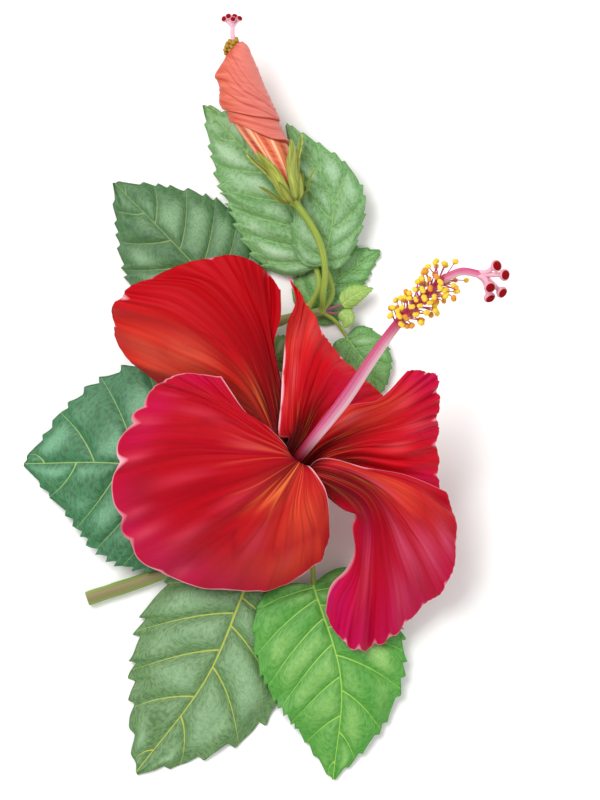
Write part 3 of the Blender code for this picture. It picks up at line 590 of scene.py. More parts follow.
def petal_finish(name, body, highlight_colour, patch_highlight, magenta):
    """Hibiscus petal, grown: a satin skin with fine veins that fan from a dark throat, whose dark is deepened
    by painted shade, as are some folds.

    The streaks give it the brushed, silky look, and the broad ones carry painted highlights; more painted
    highlight lies in patches and along the pale rim. The sheen gives the soft light of its velvet cells.
    """
    tree, shader = start_finish(name)
    lay, parts, stains = read_layout(tree)
    dark_and_shade, orange, rosy, high = stains
    # Patches of painted highlight, from stain's alpha up to 0.5; the underside holds 1.
    shine = add(tree, "ShaderNodeMapRange", {0: high, 1: 0.0, 2: 0.5}).outputs[0]
    under = add(tree, "ShaderNodeMapRange", {0: high, 1: 0.7, 2: 0.9}).outputs[0]

    def times(first, second):
        slots = {0: first, 1: second}
        return add(tree, "ShaderNodeMath", slots, operation="MULTIPLY", use_clamp=True).outputs[0]

    def grain(across, along, seed, detail):
        """Noise drawn out along the petal, with so many grains across it and along it."""
        slots = {0: lay, "Scale": (across, along, 0), "Location": (seed, seed * 2, seed)}
        placed = add(tree, "ShaderNodeMapping", slots)
        slots = {"Vector": placed.outputs[0], "Scale": 1.0, "Detail": detail, "Roughness": 0.55}
        return add(tree, "ShaderNodeTexNoise", slots).outputs["Fac"]

    def streaks(across, along, seed, detail, contrast):
        slots = {0: grain(across, along, seed, detail), 1: 0.5 - contrast, 2: 0.5 + contrast}
        return add(tree, "ShaderNodeMapRange", slots).outputs[0]

    def veins(across, along, seed, width):
        """Thin lines that run up the petal and fork, where a wide streak turns from light to dark."""
        slots = {0: grain(across, along, seed, 1.0), 1: 0.5}
        off = add(tree, "ShaderNodeMath", slots, operation="SUBTRACT").outputs[0]
        off = add(tree, "ShaderNodeMath", {0: off}, operation="ABSOLUTE").outputs[0]
        return add(tree, "ShaderNodeMapRange", {0: off, 1: 0.0, 2: width, 3: 1.0, 4: 0.0}).outputs[0]

    def share(mask, texture, least):
        """The mask, let through everywhere by least and by the texture for the rest."""
        return times(mask, add(tree, "ShaderNodeMapRange", {0: texture, 3: least, 4: 1.0}).outputs[0])

    broad = streaks(9, 0.8, 3.1, 1.0, 0.16)
    medium = streaks(30, 1.1, 7.7, 2.0, 0.17)
    fine = streaks(110, 1.5, 1.3, 2.0, 0.15)
    # Broad streaks of painted highlight.
    lights = times(broad, times(medium, 0.36))
    hairs = add(tree, "ShaderNodeMapRange", {0: fine, 1: 0.0, 2: 0.35, 3: 0.32, 4: 0.0}).outputs[0]
    fading = add(tree, "ShaderNodeMapRange", {0: parts[1], 1: 0.3, 2: 1.0, 3: 0.45, 4: 0.08}).outputs[0]
    dark_veins = times(veins(15, 0.9, 5.5, 0.045), fading)
    near_throat = add(tree, "ShaderNodeMapRange", {0: parts[1], 1: 0.08, 2: 0.42, 3: 1.0, 4: 0.0}).outputs[0]
    fanned = add(tree, "ShaderNodeMapRange", {0: orange, 3: 0.25, 4: 1.0}).outputs[0]
    gold = times(times(veins(14, 0.7, 2.4, 0.032), near_throat), fanned)
    # A pale painted highlight along the rim.
    rim = add(tree, "ShaderNodeMapRange", {0: parts[2], 1: 0.10, 2: 0.62, 3: 0.85, 4: 0.0}).outputs[0]

    paint = lay_coats(tree, linear(body), [
        (lights, highlight_colour),
        (hairs, "#86000C"),
        (share(rosy, medium, 0.5), magenta),
        (share(orange, medium, 0.55), "#D2402A"),
        # Painted highlight in soft patches.
        (times(share(shine, medium, 0.35), 0.75), patch_highlight),
        (dark_veins, "#7A0010"),
        # Dark red: the throat's own colour, deepened by painted shade there and along folds.
        (share(dark_and_shade, fine, 0.8), "#420004"),
        (gold, "#F0803C"),
        (share(rim, broad, 0.3), "#F2B4C2"),
    ])
    back = lay_coats(tree, paint, [(0.35, "#E8577A")])
    paint = add(tree, "ShaderNodeMix", {0: under, 6: paint, 7: back}, data_type="RGBA").outputs[2]

    rough = add(tree, "ShaderNodeMapRange", {0: medium, 3: 0.40, 4: 0.56}).outputs[0]
    cells = add(tree, "ShaderNodeTexNoise", {"Scale": 2600.0, "Detail": 1.0}).outputs["Fac"]  # 0.4 mm cells
    relief = add(tree, "ShaderNodeMath", {0: fine, 1: cells}, operation="ADD").outputs[0]
    dress(tree, shader, paint, rough, relief, 0.3, 0.00012)
    shader.inputs["Sheen Weight"].default_value = 0.05
    shader.inputs["Sheen Roughness"].default_value = 0.4
    shader.inputs["Sheen Tint"].default_value = linear("#FF9DB0")
    shader.inputs["Specular IOR Level"].default_value = 0.07


def leaf_finish(name, deep, body, highlight_colour, vein, vein_strength):
    """Hibiscus leaf, grown: a waxy green blade, with a painted highlight where it swells between its side
    veins and painted shade in patches on its flatter parts.

    lay holds the count of side veins passed, the count of their branches, and the margin's distance.
    stain holds the gap between side veins and the way to the midrib, both in half widths of the vein,
    and how strong the painted highlight on the swelling is.
    """
    tree, shader = start_finish(name)
    _, parts, stains = read_layout(tree)
    gap, midrib, swell, under = stains
    cloud = add(tree, "ShaderNodeTexNoise", {"Scale": 90.0, "Detail": 3.0}).outputs["Fac"]  # patches of 11 mm
    wide_cloud = add(tree, "ShaderNodeTexNoise", {"Scale": 38.0, "Detail": 1.0}).outputs["Fac"]  # and 26 mm
    # The net of the finest veins, 1.6 mm from vein to vein.
    net = add(tree, "ShaderNodeTexVoronoi", {"Scale": 620.0}, feature="DISTANCE_TO_EDGE").outputs["Distance"]
    net = add(tree, "ShaderNodeMapRange", {0: net, 1: 0.0, 2: 0.16, 3: 1.0, 4: 0.0}).outputs[0]
    # Painted highlight on the swelling between side veins, in patches.
    pale = add(tree, "ShaderNodeMapRange", {0: cloud, 1: 0.35, 2: 0.72, 3: 0.5, 4: 1.1}).outputs[0]
    pale = add(tree, "ShaderNodeMath", {0: pale, 1: swell}, operation="MULTIPLY", use_clamp=True).outputs[0]
    shade = add(tree, "ShaderNodeMapRange", {0: wide_cloud, 1: 0.42, 2: 0.66, 3: 0.0, 4: 0.75}).outputs[0]
    flat = add(tree, "ShaderNodeMath", {0: 1.0, 1: swell}, operation="SUBTRACT", use_clamp=True).outputs[0]
    shade = add(tree, "ShaderNodeMath", {0: shade, 1: flat}, operation="MULTIPLY", use_clamp=True).outputs[0]
    lines = []
    for count, thin in ((parts[0], 1.0), (parts[1], 2.6)):
        off = add(tree, "ShaderNodeMath", {0: count, 1: 0.5}, operation="PINGPONG").outputs[0]
        off = add(tree, "ShaderNodeMath", {0: off, 1: gap}, operation="MULTIPLY").outputs[0]
        slots = {0: off, 1: 0.5 / thin, 2: 1.3 / thin, 3: vein_strength / thin**0.5, 4: 0.0}
        lines.append(add(tree, "ShaderNodeMapRange", slots).outputs[0])
    off = add(tree, "ShaderNodeMath", {0: midrib}, operation="ABSOLUTE").outputs[0]
    slots = {0: off, 1: 0.5, 2: 1.2, 3: vein_strength, 4: 0.0}
    lines.append(add(tree, "ShaderNodeMapRange", slots).outputs[0])
    line = add(tree, "ShaderNodeMath", {0: lines[0], 1: lines[1]}, operation="MAXIMUM").outputs[0]
    line = add(tree, "ShaderNodeMath", {0: line, 1: lines[2]}, operation="MAXIMUM", use_clamp=True).outputs[0]
    net_share = add(tree, "ShaderNodeMath", {0: net, 1: 0.05}, operation="MULTIPLY").outputs[0]
    rim = add(tree, "ShaderNodeMapRange", {0: parts[2], 1: 0.1, 2: 0.7, 3: 0.35, 4: 0.0}).outputs[0]
    coats = [(pale, highlight_colour), (shade, deep), (net_share, vein), (rim, deep), (line, vein)]
    paint = lay_coats(tree, linear(body), coats)
    back = lay_coats(tree, paint, [(0.5, "#A9C79A")])
    paint = add(tree, "ShaderNodeMix", {0: under, 6: paint, 7: back}, data_type="RGBA").outputs[2]
    rough = add(tree, "ShaderNodeMapRange", {0: cloud, 3: 0.38, 4: 0.55}).outputs[0]
    skin = add(tree, "ShaderNodeTexNoise", {"Scale": 1500.0, "Detail": 1.0}).outputs["Fac"]
    relief = add(tree, "ShaderNodeMath", {0: skin, 1: net}, operation="SUBTRACT").outputs[0]
    dress(tree, shader, paint, rough, relief, 0.25, 0.00006)
    shader.inputs["Specular IOR Level"].default_value = 0.45


def stem_finish(name, green, pale, flush, flush_from, rough):
    """Young hibiscus stem, grown: smooth green skin, flushed with rose where the sun reached it.

    lay is the share round the stem, the share along it, and how far that side faces up.
    """
    tree, shader = start_finish(name)
    lay, parts, _ = read_layout(tree)
    placed = add(tree, "ShaderNodeMapping", {0: lay, "Scale": (26, 3.0, 0)}).outputs[0]
    grain = add(tree, "ShaderNodeTexNoise", {"Vector": placed, "Scale": 1.0, "Detail": 3.0}).outputs["Fac"]
    dots = add(tree, "ShaderNodeTexVoronoi", {"Scale": 420.0}).outputs["Distance"]  # lenticels 2.4 mm apart
    dots = add(tree, "ShaderNodeMapRange", {0: dots, 1: 0.10, 2: 0.20, 3: 0.5, 4: 0.0}).outputs[0]
    uneven = add(tree, "ShaderNodeMath", {0: parts[2], 1: grain}, operation="ADD").outputs[0]
    upper = add(tree, "ShaderNodeMapRange", {0: uneven, 1: flush_from, 2: flush_from + 0.9}).outputs[0]
    grain_share = add(tree, "ShaderNodeMapRange", {0: grain, 1: 0.35, 2: 0.7}).outputs[0]
    paint = lay_coats(tree, linear(green), [(grain_share, pale), (upper, flush), (dots, "#C9C48E")])
    uneven_rough = add(tree, "ShaderNodeMapRange", {0: grain, 3: rough - 0.08, 4: rough + 0.1}).outputs[0]
    relief = add(tree, "ShaderNodeMath", {0: grain, 1: dots}, operation="ADD").outputs[0]
    dress(tree, shader, paint, uneven_rough, relief, 0.4, 0.00025)


def grain_finish(name, base, spot, scale, rough, depth, sheen=0.0, shine=0.5):
    """A small soft part, grown: two tones in grains whose size in metres is one over scale."""
    tree, shader = start_finish(name)
    grain = add(tree, "ShaderNodeTexNoise", {"Scale": scale, "Detail": 3.0}).outputs["Fac"]
    spots = add(tree, "ShaderNodeMapRange", {0: grain, 1: 0.3, 2: 0.7}).outputs[0]
    paint = lay_coats(tree, linear(base), [(spots, spot)])
    uneven_rough = add(tree, "ShaderNodeMapRange", {0: grain, 3: rough - 0.1, 4: rough + 0.1}).outputs[0]
    dress(tree, shader, paint, uneven_rough, grain, 0.5, depth)
    shader.inputs["Sheen Weight"].default_value = sheen
    shader.inputs["Specular IOR Level"].default_value = shine


def column_finish():
    """Staminal column, grown: filaments fused into a ribbed satin tube, with painted shade in rose on one
    side and in deep red on its foot inside the tube.
    """
    tree, shader = start_finish("column_rose")
    lay, _, stains = read_layout(tree)
    placed = add(tree, "ShaderNodeMapping", {0: lay, "Scale": (22, 1.5, 0)}).outputs[0]
    grain = add(tree, "ShaderNodeTexNoise", {"Vector": placed, "Scale": 1.0, "Detail": 2.0}).outputs["Fac"]
    # Painted shade in rose on one side of the column and the style.
    side = add(tree, "ShaderNodeMath", {0: stains[0], 1: grain}, operation="ADD").outputs[0]
    side = add(tree, "ShaderNodeMapRange", {0: side, 1: 0.55, 2: 1.35}).outputs[0]
    coats = [(side, "#B83C6C"), (stains[1], "#A80F3C"), (stains[2], "#7A0A1E")]
    paint = lay_coats(tree, linear("#EAC2CE"), coats)
    rough = add(tree, "ShaderNodeMapRange", {0: grain, 3: 0.32, 4: 0.48}).outputs[0]
    dress(tree, shader, paint, rough, grain, 0.4, 0.0002)


def furled_finish():
    """Petals of the closed flower, wilted: thin crumpled coral skin, with a painted highlight on its raised
    folds and painted shade under its free edges and in its creases.

    lay is the share round the flower, the share along it, and the distance along its creases' slant.
    """
    tree, shader = start_finish("wilted_petal")
    lay, _, stains = read_layout(tree)
    fold, edge, inner, _ = stains

    def grain(scale, low, high):
        placed = add(tree, "ShaderNodeMapping", {0: lay, "Scale": scale})
        noise = add(tree, "ShaderNodeTexNoise", {"Vector": placed.outputs[0], "Scale": 1.0, "Detail": 3.0})
        return add(tree, "ShaderNodeMapRange", {0: noise.outputs["Fac"], 1: low, 2: high}).outputs[0]

    slanting = grain((5, 0, 42), 0.36, 0.66)
    lengthwise = grain((42, 2, 0), 0.38, 0.64)
    # Painted highlight on the raised folds of the lit side.
    fold_highlight = add(tree, "ShaderNodeMath", {0: fold, 1: 0.75}, operation="MULTIPLY").outputs[0]
    # The inner petal's own orange, paler on its pleats' crests as painted highlight.
    inner_share = add(tree, "ShaderNodeMath", {0: inner, 1: lengthwise}, operation="MULTIPLY").outputs[0]
    # The last coat is painted shade under the free edges and in the creases.
    paint = lay_coats(tree, linear("#B63A22"), [
        (slanting, "#D26C50"), (fold_highlight, "#DA8078"), (inner, "#DE7A38"), (inner_share, "#F2C0A6"),
        (edge, "#9A2A14"),
    ])
    rough = add(tree, "ShaderNodeMapRange", {0: slanting, 3: 0.42, 4: 0.6}).outputs[0]
    dress(tree, shader, paint, rough, slanting, 0.4, 0.0002)
    shader.inputs["Specular IOR Level"].default_value = 0.2


def make_finishes():
    """Every finish of the sprig. Petals differ in how scarlet or crimson they are, leaves in age."""
    petal_finish("red_petal", "#A8000A", "#D01C30", "#D86248", "#B80A4C")
    petal_finish("scarlet_petal", "#BE0010", "#E22C3E", "#DC5A5C", "#C40A54")
    petal_finish("crimson_petal", "#AA0018", "#CC1C42", "#DA5C80", "#BE0C58")
    petal_finish("carmine_petal", "#A60012", "#C6122E", "#D04058", "#BA0A4C")
    leaf_finish("leaf_deep", "#184A2C", "#2F7044", "#72A884", "#A0BE66", 0.75)
    leaf_finish("leaf_grey_green", "#26502E", "#426E3E", "#7CA478", "#8CA450", 0.6)
    leaf_finish("leaf_olive", "#35582E", "#587F4A", "#94B890", "#AEB63A", 0.9)
    leaf_finish("leaf_sage", "#44783A", "#709E62", "#A9C9A6", "#98B860", 0.5)
    leaf_finish("leaf_mid", "#356E30", "#639A50", "#9AC68C", "#A6CA66", 0.6)
    leaf_finish("leaf_lime", "#267C1C", "#4E9234", "#90BC68", "#A8CC4E", 0.75)
    leaf_finish("leaf_tender", "#6C963A", "#8EB250", "#B4CE7C", "#C8DA8E", 0.5)
    stem_finish("twig_green", "#6E8E34", "#93AE50", "#7E4450", 0.95, 0.5)
    stem_finish("stalk_green", "#6E8F2E", "#A9B645", "#8A7A30", 1.5, 0.42)
    stem_finish("stalk_rose", "#8A9A4A", "#B08A6A", "#8E4A66", 0.1, 0.45)
    stem_finish("sepal_green", "#7C8C2C", "#BCC258", "#667A2A", 1.2, 0.5)
    column_finish()
    furled_finish()
    grain_finish("anther_yellow", "#EDB818", "#FADA40", 2200.0, 0.62, 0.0002)
    grain_finish("anther_amber", "#C87808", "#E8A020", 2200.0, 0.62, 0.0002)
    grain_finish("anther_dry", "#8A6A14", "#C69A2E", 2200.0, 0.7, 0.00025)
    grain_finish("filament_magenta", "#A8205A", "#C75C8C", 700.0, 0.45, 0.0001)
    grain_finish("stigma_velvet", "#6C0004", "#A80008", 3200.0, 0.85, 0.0004, sheen=0.02, shine=0.1)
    grain_finish("stigma_rim", "#C87A90", "#E2A8B6", 900.0, 0.5, 0.0001)
    grain_finish("cut_wood", "#CFCB94", "#A8AE66", 1400.0, 0.7, 0.0002)


# ---------------------------------------------------------------- petals

def throat_point(depth, radius, turn):
    """A point of the tube: how deep below the throat, how far from its axis, and where round it."""
    out = math.cos(turn) * FLOWER_SIDE + math.sin(turn) * FLOWER_TOP
    return THROAT - depth * FLOWER_AXIS + radius * out


def petal_grid(petal, rows, columns):
    """Points of a petal's middle surface. Its first TUBE_ROWS are inside the tube."""
    ribs, count = [], len(petal["ribs"])
    spread = math.radians(petal["spread"]) if "spread" in petal else PETAL_SPREAD
    turn = math.radians(petal["turn"])
    for index, places in enumerate(petal["ribs"]):
        share = index / (count - 1)
        tuck = petal["tuck"][0] * (1 - share) + petal["tuck"][1] * share
        claw = throat_point(TUBE_LENGTH - 2, CLAW_RADIUS, turn + (0.5 - share) * CLAW_SPREAD)
        waist = throat_point(TUBE_LENGTH * 0.45, 5.2 + 0.5 * tuck * OVERLAP_STEP,
                             turn + (0.5 - share) * (CLAW_SPREAD + spread) / 2)
        mouth = throat_point(tuck * OVERLAP_STEP, THROAT_RADIUS + tuck * OVERLAP_STEP,
                             turn + (0.5 - share) * spread)
        bearings, reaches, heights = np.array(places, float).T
        bearings = np.radians(bearings)
        outer = THROAT + np.stack([reaches * np.cos(bearings), reaches * np.sin(bearings), heights], -1)
        points = [claw, waist, mouth, *outer]
        on_rib = np.interp(np.linspace(0, 1, rows), [0, TUBE_ROWS, 1], [0, chords(points)[2], 1])
        ribs.append(spline(points, on_rib))
    ribs = np.array(ribs)
    across = np.linspace(0, 1, columns)
    even = np.linspace(0, 1, count)
    return np.stack([spline(row, np.interp(across, even, chords(row))) for row in ribs.swapaxes(0, 1)])


def petal(name):
    """A petal: its ribbed surface, folded along the veins, notched and ruffled at the margin."""
    spec = PETALS[name]
    rows, columns = 150, 260
    grid = petal_grid(spec, rows, columns)
    u, v = np.meshgrid(np.linspace(0, 1, columns), np.linspace(0, 1, rows))
    along = (v - TUBE_ROWS) / (1 - TUBE_ROWS)
    out = np.clip(along, 0, 1)
    up = grid_normals(grid)
    ahead = np.gradient(grid, axis=0)
    ahead /= np.linalg.norm(ahead, axis=2, keepdims=True)

    seed = spec["seed"]
    wandering = u + 0.02 * waves(v, seed, 0.5, 1.5)
    height = spec["folds"] * smooth(out, 0.02, 0.5) * waves(wandering, seed, 4, 13)
    height += 0.16 * spec["folds"] * smooth(out, 0.05, 0.4) * waves(u, seed + 1, 22, 46)
    height += spec["ruffle"] * smooth(out, 0.62, 1.0) * waves(u, seed + 2, 5, 14)
    back = 0.14 * smooth(out, 0.9, 1.0) * waves(u, seed + 3, 18, 40)
    margin = smooth(out, 0.76, 1.0) ** 1.5
    # pale is a painted highlight: it widens the pale rim, and runs in from each notch along its fold.
    pale = np.zeros((rows, columns))
    ends = [(0.0, spec["notches"][0][1]), *spec["notches"], (1.0, spec["notches"][-1][1])]
    for (start, first), (stop, last) in zip(ends[:-1], ends[1:]):
        lobe = np.clip((u - start) / (stop - start), 0, 1)
        within = (u >= start) & (u < stop)
        back -= (0.5 * (first + last) * (np.sin(math.pi * lobe) ** 0.7 - 0.35)) * within * margin
    for place, depth in spec["notches"]:
        pleat = np.exp(-(((u - place) / 0.012) ** 2))
        height += 0.9 * depth**0.6 * pleat * smooth(out, 0.5, 1.0) ** 1.8
        pale = np.maximum(pale, 0.55 * depth * np.exp(-(((u - place) / 0.010) ** 2)))
    lift = 0.3 * up + np.array([0, 0, 0.7])
    grid = grid + lift * height[..., None] - ahead * back[..., None]

    edge = edge_distance(grid)
    stain = np.zeros((rows, columns, 4))
    patches = {"dark_and_shade": 0, "orange": 1, "magenta": 2, "patch_highlight": 3}
    for colour, places in spec["stains"].items():
        for across, far, size, strength, *length in places:
            length = length[0] if length else 1.6 * size
            spot = strength * np.exp(-(((u - across) / size) ** 2 + ((along - far) / length) ** 2))
            if colour == "pale":
                pale = np.maximum(pale, spot)
            else:
                stain[..., patches[colour]] = np.maximum(stain[..., patches[colour]], spot)
    # Dark down the tube: the throat's own colour, with painted shade inside the tube.
    stain[..., 0] = np.maximum(stain[..., 0], 1 - smooth(along, -0.05, 0.12))
    # The fourth part of stain holds the patches of painted highlight.
    stain[..., 3] *= 0.5  # the underside holds 1, so the upper side stays well below it
    # The pale rim, a painted highlight, follows from_rim, and widens where pale is strong.
    from_rim = (edge + spec["plain_rim"] * (1 - smooth(pale, 0.1, 0.6))) / (1 + 2.2 * pale)
    lay = np.stack([u, along, from_rim], -1)
    build(name, [sheet_shell(grid, PETAL_THICKNESS, lay, stain)], [spec["finish"]])


# ---------------------------------------------------------------- leaves and stems

def twig_at(share):
    """The point on the twig's middle line at a share of its length."""
    return spline(TWIG_ROUTE, [share])[0]


def leaf_outline(share):
    """The half width of a leaf at a share of its length, as a share of its greatest."""
    widest = 1 / 3
    return share**0.5 * (1 - share) / (widest**0.5 * (1 - widest))


def leaf(name):
    """A leaf: a toothed blade that swells between its side veins, its midrib and its stalk."""
    spec = LEAVES[name]
    veins, per_vein = spec["veins"], 24
    rows = veins * per_vein + 1
    columns = 41 if spec["widths"][0] < 8 else 91
    shares = np.linspace(0.0015, 0.9985, rows)
    on_rib = shares**1.8
    blade = spec["blade"]
    centres = spline(blade, on_rib)
    ahead = spline(blade, np.minimum(on_rib + 0.01, 1)) - spline(blade, np.maximum(on_rib - 0.01, 0))
    ahead /= np.linalg.norm(ahead, axis=1)[:, None]
    side = np.cross([0, 0, 1], ahead)
    side /= np.linalg.norm(side, axis=1)[:, None]
    up = np.cross(ahead, side)
    length = np.linalg.norm(np.subtract(blade[2], blade[0]))
    half = leaf_outline(shares)
    behind = spec["lobe"] * length * np.sin(math.pi * np.sqrt(np.minimum(shares / 0.3, 1)))
    forward = length * (shares - on_rib) - behind

    out = np.linspace(-1, 1, columns)[None, :]
    wide = np.where(out < 0, spec["widths"][0], spec["widths"][1])
    away = np.abs(out)
    seed = sum(ord(letter) for letter in name)
    place = shares[:, None] * veins + 0.375 * (out > 0) - 0.22 * away**2  # whole numbers are side veins
    teeth = spec.get("teeth", 2 * veins)
    uneven = 0.15 * waves(shares[:, None], seed, 3, 9)
    tooth_place = np.mod(shares[:, None] * teeth + 0.3 * (out > 0) + uneven, 1)
    tooth = spec["tooth"] * (tooth_place ** 1.3 * (1 - smooth(tooth_place, 0.86, 1.0)) * 1.25 - 0.35)
    tooth = tooth * smooth(shares[:, None], 0.03, 0.12) * (0.45 + 0.55 * half[:, None]) * away**5
    reach = -out * wide * half[:, None] - np.sign(out) * tooth
    sweep = forward[:, None] * away**1.15 + 0.6 * tooth
    fall = spec["droop"] * out**2 * half[:, None]

    flat = centres[:, None] + side[:, None] * reach[..., None] + ahead[:, None] * sweep[..., None]
    by_row, by_column = np.gradient(flat, axis=0), np.gradient(flat, axis=1)
    area = np.linalg.norm(np.cross(by_row, by_column), axis=2)
    spacing = area / np.linalg.norm(by_column, axis=2) * per_vein  # from one side vein to the next
    to_midrib = away * wide * half[:, None]
    nearest = np.minimum(np.abs(place - np.round(place)) * spacing, to_midrib)
    quilt = (1 - np.exp(-(nearest / (0.16 * length / veins + 0.3)) ** 1.5)) * smooth(1 - away, 0.0, 0.25)
    relief = 0.018 * length * quilt * (0.5 + 0.5 * half[:, None])
    relief += 0.012 * length * away**2 * waves(place / veins + 0.3 * out, seed + 1, 2, 5)
    grid = flat + up[:, None] * (relief - fall)[..., None]
    low = 0.3  # what would dip below this height lies flat on the table
    settled = low + np.exp(np.minimum(grid[..., 2] - low - 1, 0))
    grid[..., 2] = np.where(grid[..., 2] < low + 1, settled, grid[..., 2])

    size = np.clip(length / 90, 0.35, 1.1)
    stain = np.zeros((rows, columns, 4))
    stain[..., 0] = spacing / (0.06 + 0.34 * (1 - away)) / size
    stain[..., 1] = np.sign(out) * to_midrib / (0.62 - 0.42 * shares[:, None]) / size
    # The third part of stain is the painted highlight on the swelling between side veins, uneven from vein to
    # vein.
    patchy = 0.55 + 0.45 * waves(place / veins + 0.4 * out, seed + 2, 1, 3)
    stain[..., 2] = quilt**1.5 * smooth(1 - away, 0.0, 0.35) * patchy
    branch = place - 0.5 * smooth(away, 0.38, 1.05)
    lay = np.stack([np.where(place < 0.5, 0.5, place), branch, edge_distance(grid)], -1)
    shells = [sheet_shell(grid, LEAF_THICKNESS, lay, stain, thin_edge=1.0)]

    thick = 0.5 + 0.035 * spec["widths"][0]
    under = spline(blade, [0.02, 0.1, 0.3, 0.6]) - np.array([[0, 0, 0.6 * thick + 0.05]])
    shares_along = np.linspace(0, 1, 60)
    line = spline([twig_at(spec["twig_share"]), *spec["stalk"], *under], shares_along)
    radii = np.interp(shares_along, [0, 0.4, 1], [thick, 0.7 * thick, 0.2])
    radii += 0.3 * thick * np.exp(-(shares_along / 0.06) ** 2)
    line[:, 2] = np.maximum(line[:, 2], radii + 0.1)
    shells.append(tube_shell(line, radii, 14, finish=1))
    stalk_finish = "stalk_rose" if name.startswith("young") else "stalk_green"
    build(name, shells, [spec["finish"], stalk_finish])


def twig():
    """The twig: bark with low nodes where leaves sit, cut square across at its thick end."""
    shares = np.linspace(0, 1, 220)
    line = spline(TWIG_ROUTE, shares)
    radii = np.interp(shares, [0, 1], TWIG_RADII)
    for node in TWIG_NODES:
        radii += 0.22 * np.exp(-(((shares - node) / 0.012) ** 2))
    radii *= 1 + 0.02 * waves(shares, 4, 6, 20)
    body = tube_shell(line, radii, 28, round_ends=False, section=lambda t: 1 + 0.02 * np.cos(5 * t + 0.6))
    way = unit(line[0] - line[1])
    ends = [line[0] + 0.25 * way, line[0] - 0.5 * way]
    face = tube_shell(ends, [radii[0] * 0.9] * 2, 28, round_ends=False, finish=1)
    build("twig", [body, face], ["twig_green", "cut_wood"])


# ---------------------------------------------------------------- column, stamens and style

def kidney(centre, way, size, seed, finish):
    """An anther: a kidney of two lobes, split along its middle, and dusted with pollen."""
    dice = np.random.default_rng(seed)
    rows, around = 9, 12
    turns = np.linspace(0, 2 * math.pi, around, endpoint=False)
    lat, lon = np.meshgrid(np.linspace(0.08, math.pi - 0.08, rows), turns, indexing="ij")
    ball = np.stack([np.sin(lat) * np.cos(lon), np.sin(lat) * np.sin(lon), np.cos(lat)], -1)
    groove = 1 - 0.20 * np.exp(-((ball[..., 0] / 0.22) ** 2)) * (ball[..., 2] > -0.4)
    bumps = 1 + 0.05 * dice.standard_normal(lat.shape)
    ball = ball * (groove * bumps)[..., None] * np.array([1.12, 0.92, 0.88])
    turn = dice.uniform(0, 2 * math.pi)
    across = unit(np.cross(way, [math.cos(turn), math.sin(turn), 0.3]))
    ways = np.stack([across, np.cross(way, across), way])
    points = centre + size * ball.reshape(-1, 3) @ ways
    faces = grid_faces(rows, around, wrap=True, flip=True)
    faces += [tuple(range(around)), tuple(reversed(range((rows - 1) * around, rows * around)))]
    return shell(points, faces, ball.reshape(-1, 3), finish=finish)


def column_line(count):
    """The column's middle line, from inside the tube to its tip."""
    start = THROAT - (TUBE_LENGTH - 5) * FLOWER_AXIS
    return spline([start, *COLUMN_ROUTE], np.linspace(0, 1, count))


def shaded_side(sides):
    """How much painted shade, in rose, the column and the style have at each point round them."""
    return 0.5 + 0.5 * np.cos(np.linspace(0, 2 * math.pi, sides, endpoint=False) + COLUMN_SHADE_TURN)


def staminal_column():
    """The column: a ribbed tube, with stamens on its last quarter that reach out on thin stalks."""
    rings, sides = 120, 30
    radii = np.interp(np.linspace(0, 1, rings), *zip(*COLUMN_RADII))
    body = tube_shell(column_line(rings), radii, sides, section=lambda t: 1 + 0.05 * np.cos(5 * t))
    rows = len(body["points"]) // sides
    along = np.linspace(0, 1, rows)[:, None]
    stain = np.zeros((rows, sides, 4))
    # stain: painted shade in rose on one side, the redder tip, and painted shade on the foot inside the tube.
    stain[..., 0] = shaded_side(sides)
    stain[..., 1] = 0.85 * smooth(along, 0.68, 0.80)
    stain[..., 2] = 1 - smooth(along, 0.20, 0.34)
    body["stain"] = stain.reshape(-1, 4)
    shells = [body]
    golden = math.pi * (3 - math.sqrt(5))
    dice = np.random.default_rng(21)
    last = 200
    near = column_line(last + 1)
    for index in range(STAMEN_COUNT):
        share = STAMEN_SHARES[0] + (STAMEN_SHARES[1] - STAMEN_SHARES[0]) * (index + 0.5) / STAMEN_COUNT
        place = int(share * last)
        way = unit(near[min(place + 1, last)] - near[place - 1])
        out = math.cos(index * golden) * FLOWER_SIDE + math.sin(index * golden) * FLOWER_TOP
        out = unit(out - way * (out @ way))
        reach = 5.6 + 2.6 * index / STAMEN_COUNT + 1.8 * dice.uniform(-1, 1)
        aim = unit(out + (0.65 + 0.55 * dice.uniform()) * way)
        tip = near[place] + reach * aim
        bend = near[place] + 0.5 * reach * unit(out + 1.1 * way)
        filament = spline([near[place], bend, tip], np.linspace(0, 1, 7))
        shells.append(tube_shell(filament, np.linspace(0.26, 0.16, 7), 6, finish=1))
        size = ANTHER_RADIUS * dice.uniform(0.82, 1.05)
        shells.append(kidney(tip, aim, size, index, 3 if dice.uniform() < 0.2 else 2))
    build("staminal_column", shells, ["column_rose", "filament_magenta", "anther_yellow", "anther_amber"])


def stigma(centre, way, size, finishes):
    """A stigma: a round cushion of dark red hairs set in a pale fleshy rim."""
    across = unit(np.cross(way, [0.3, 0.2, 1.0]))
    other = np.cross(way, across)
    around = 22
    turns = np.linspace(0, 2 * math.pi, around, endpoint=False)
    out = np.outer(np.cos(turns), across) + np.outer(np.sin(turns), other)
    made = []
    for profile, finish in (
        ([(-0.9, 0.25), (-0.5, 0.75), (0.0, 1.0), (0.32, 0.98), (0.45, 0.82), (0.30, 0.70)], finishes[0]),
        ([(0.05, 0.60), (0.30, 0.76), (0.52, 0.74), (0.70, 0.58), (0.80, 0.34), (0.84, 0.10)], finishes[1]),
    ):
        rings = np.array([centre + size * (rise * 0.9 * way + radius * out) for rise, radius in profile])
        count = len(profile) * around
        faces = grid_faces(len(profile), around, wrap=True)
        faces += [tuple(reversed(range(around))), tuple(range(count - around, count))]
        made.append(shell(rings.reshape(-1, 3), faces, np.zeros((count, 3)), finish=finish))
    return made


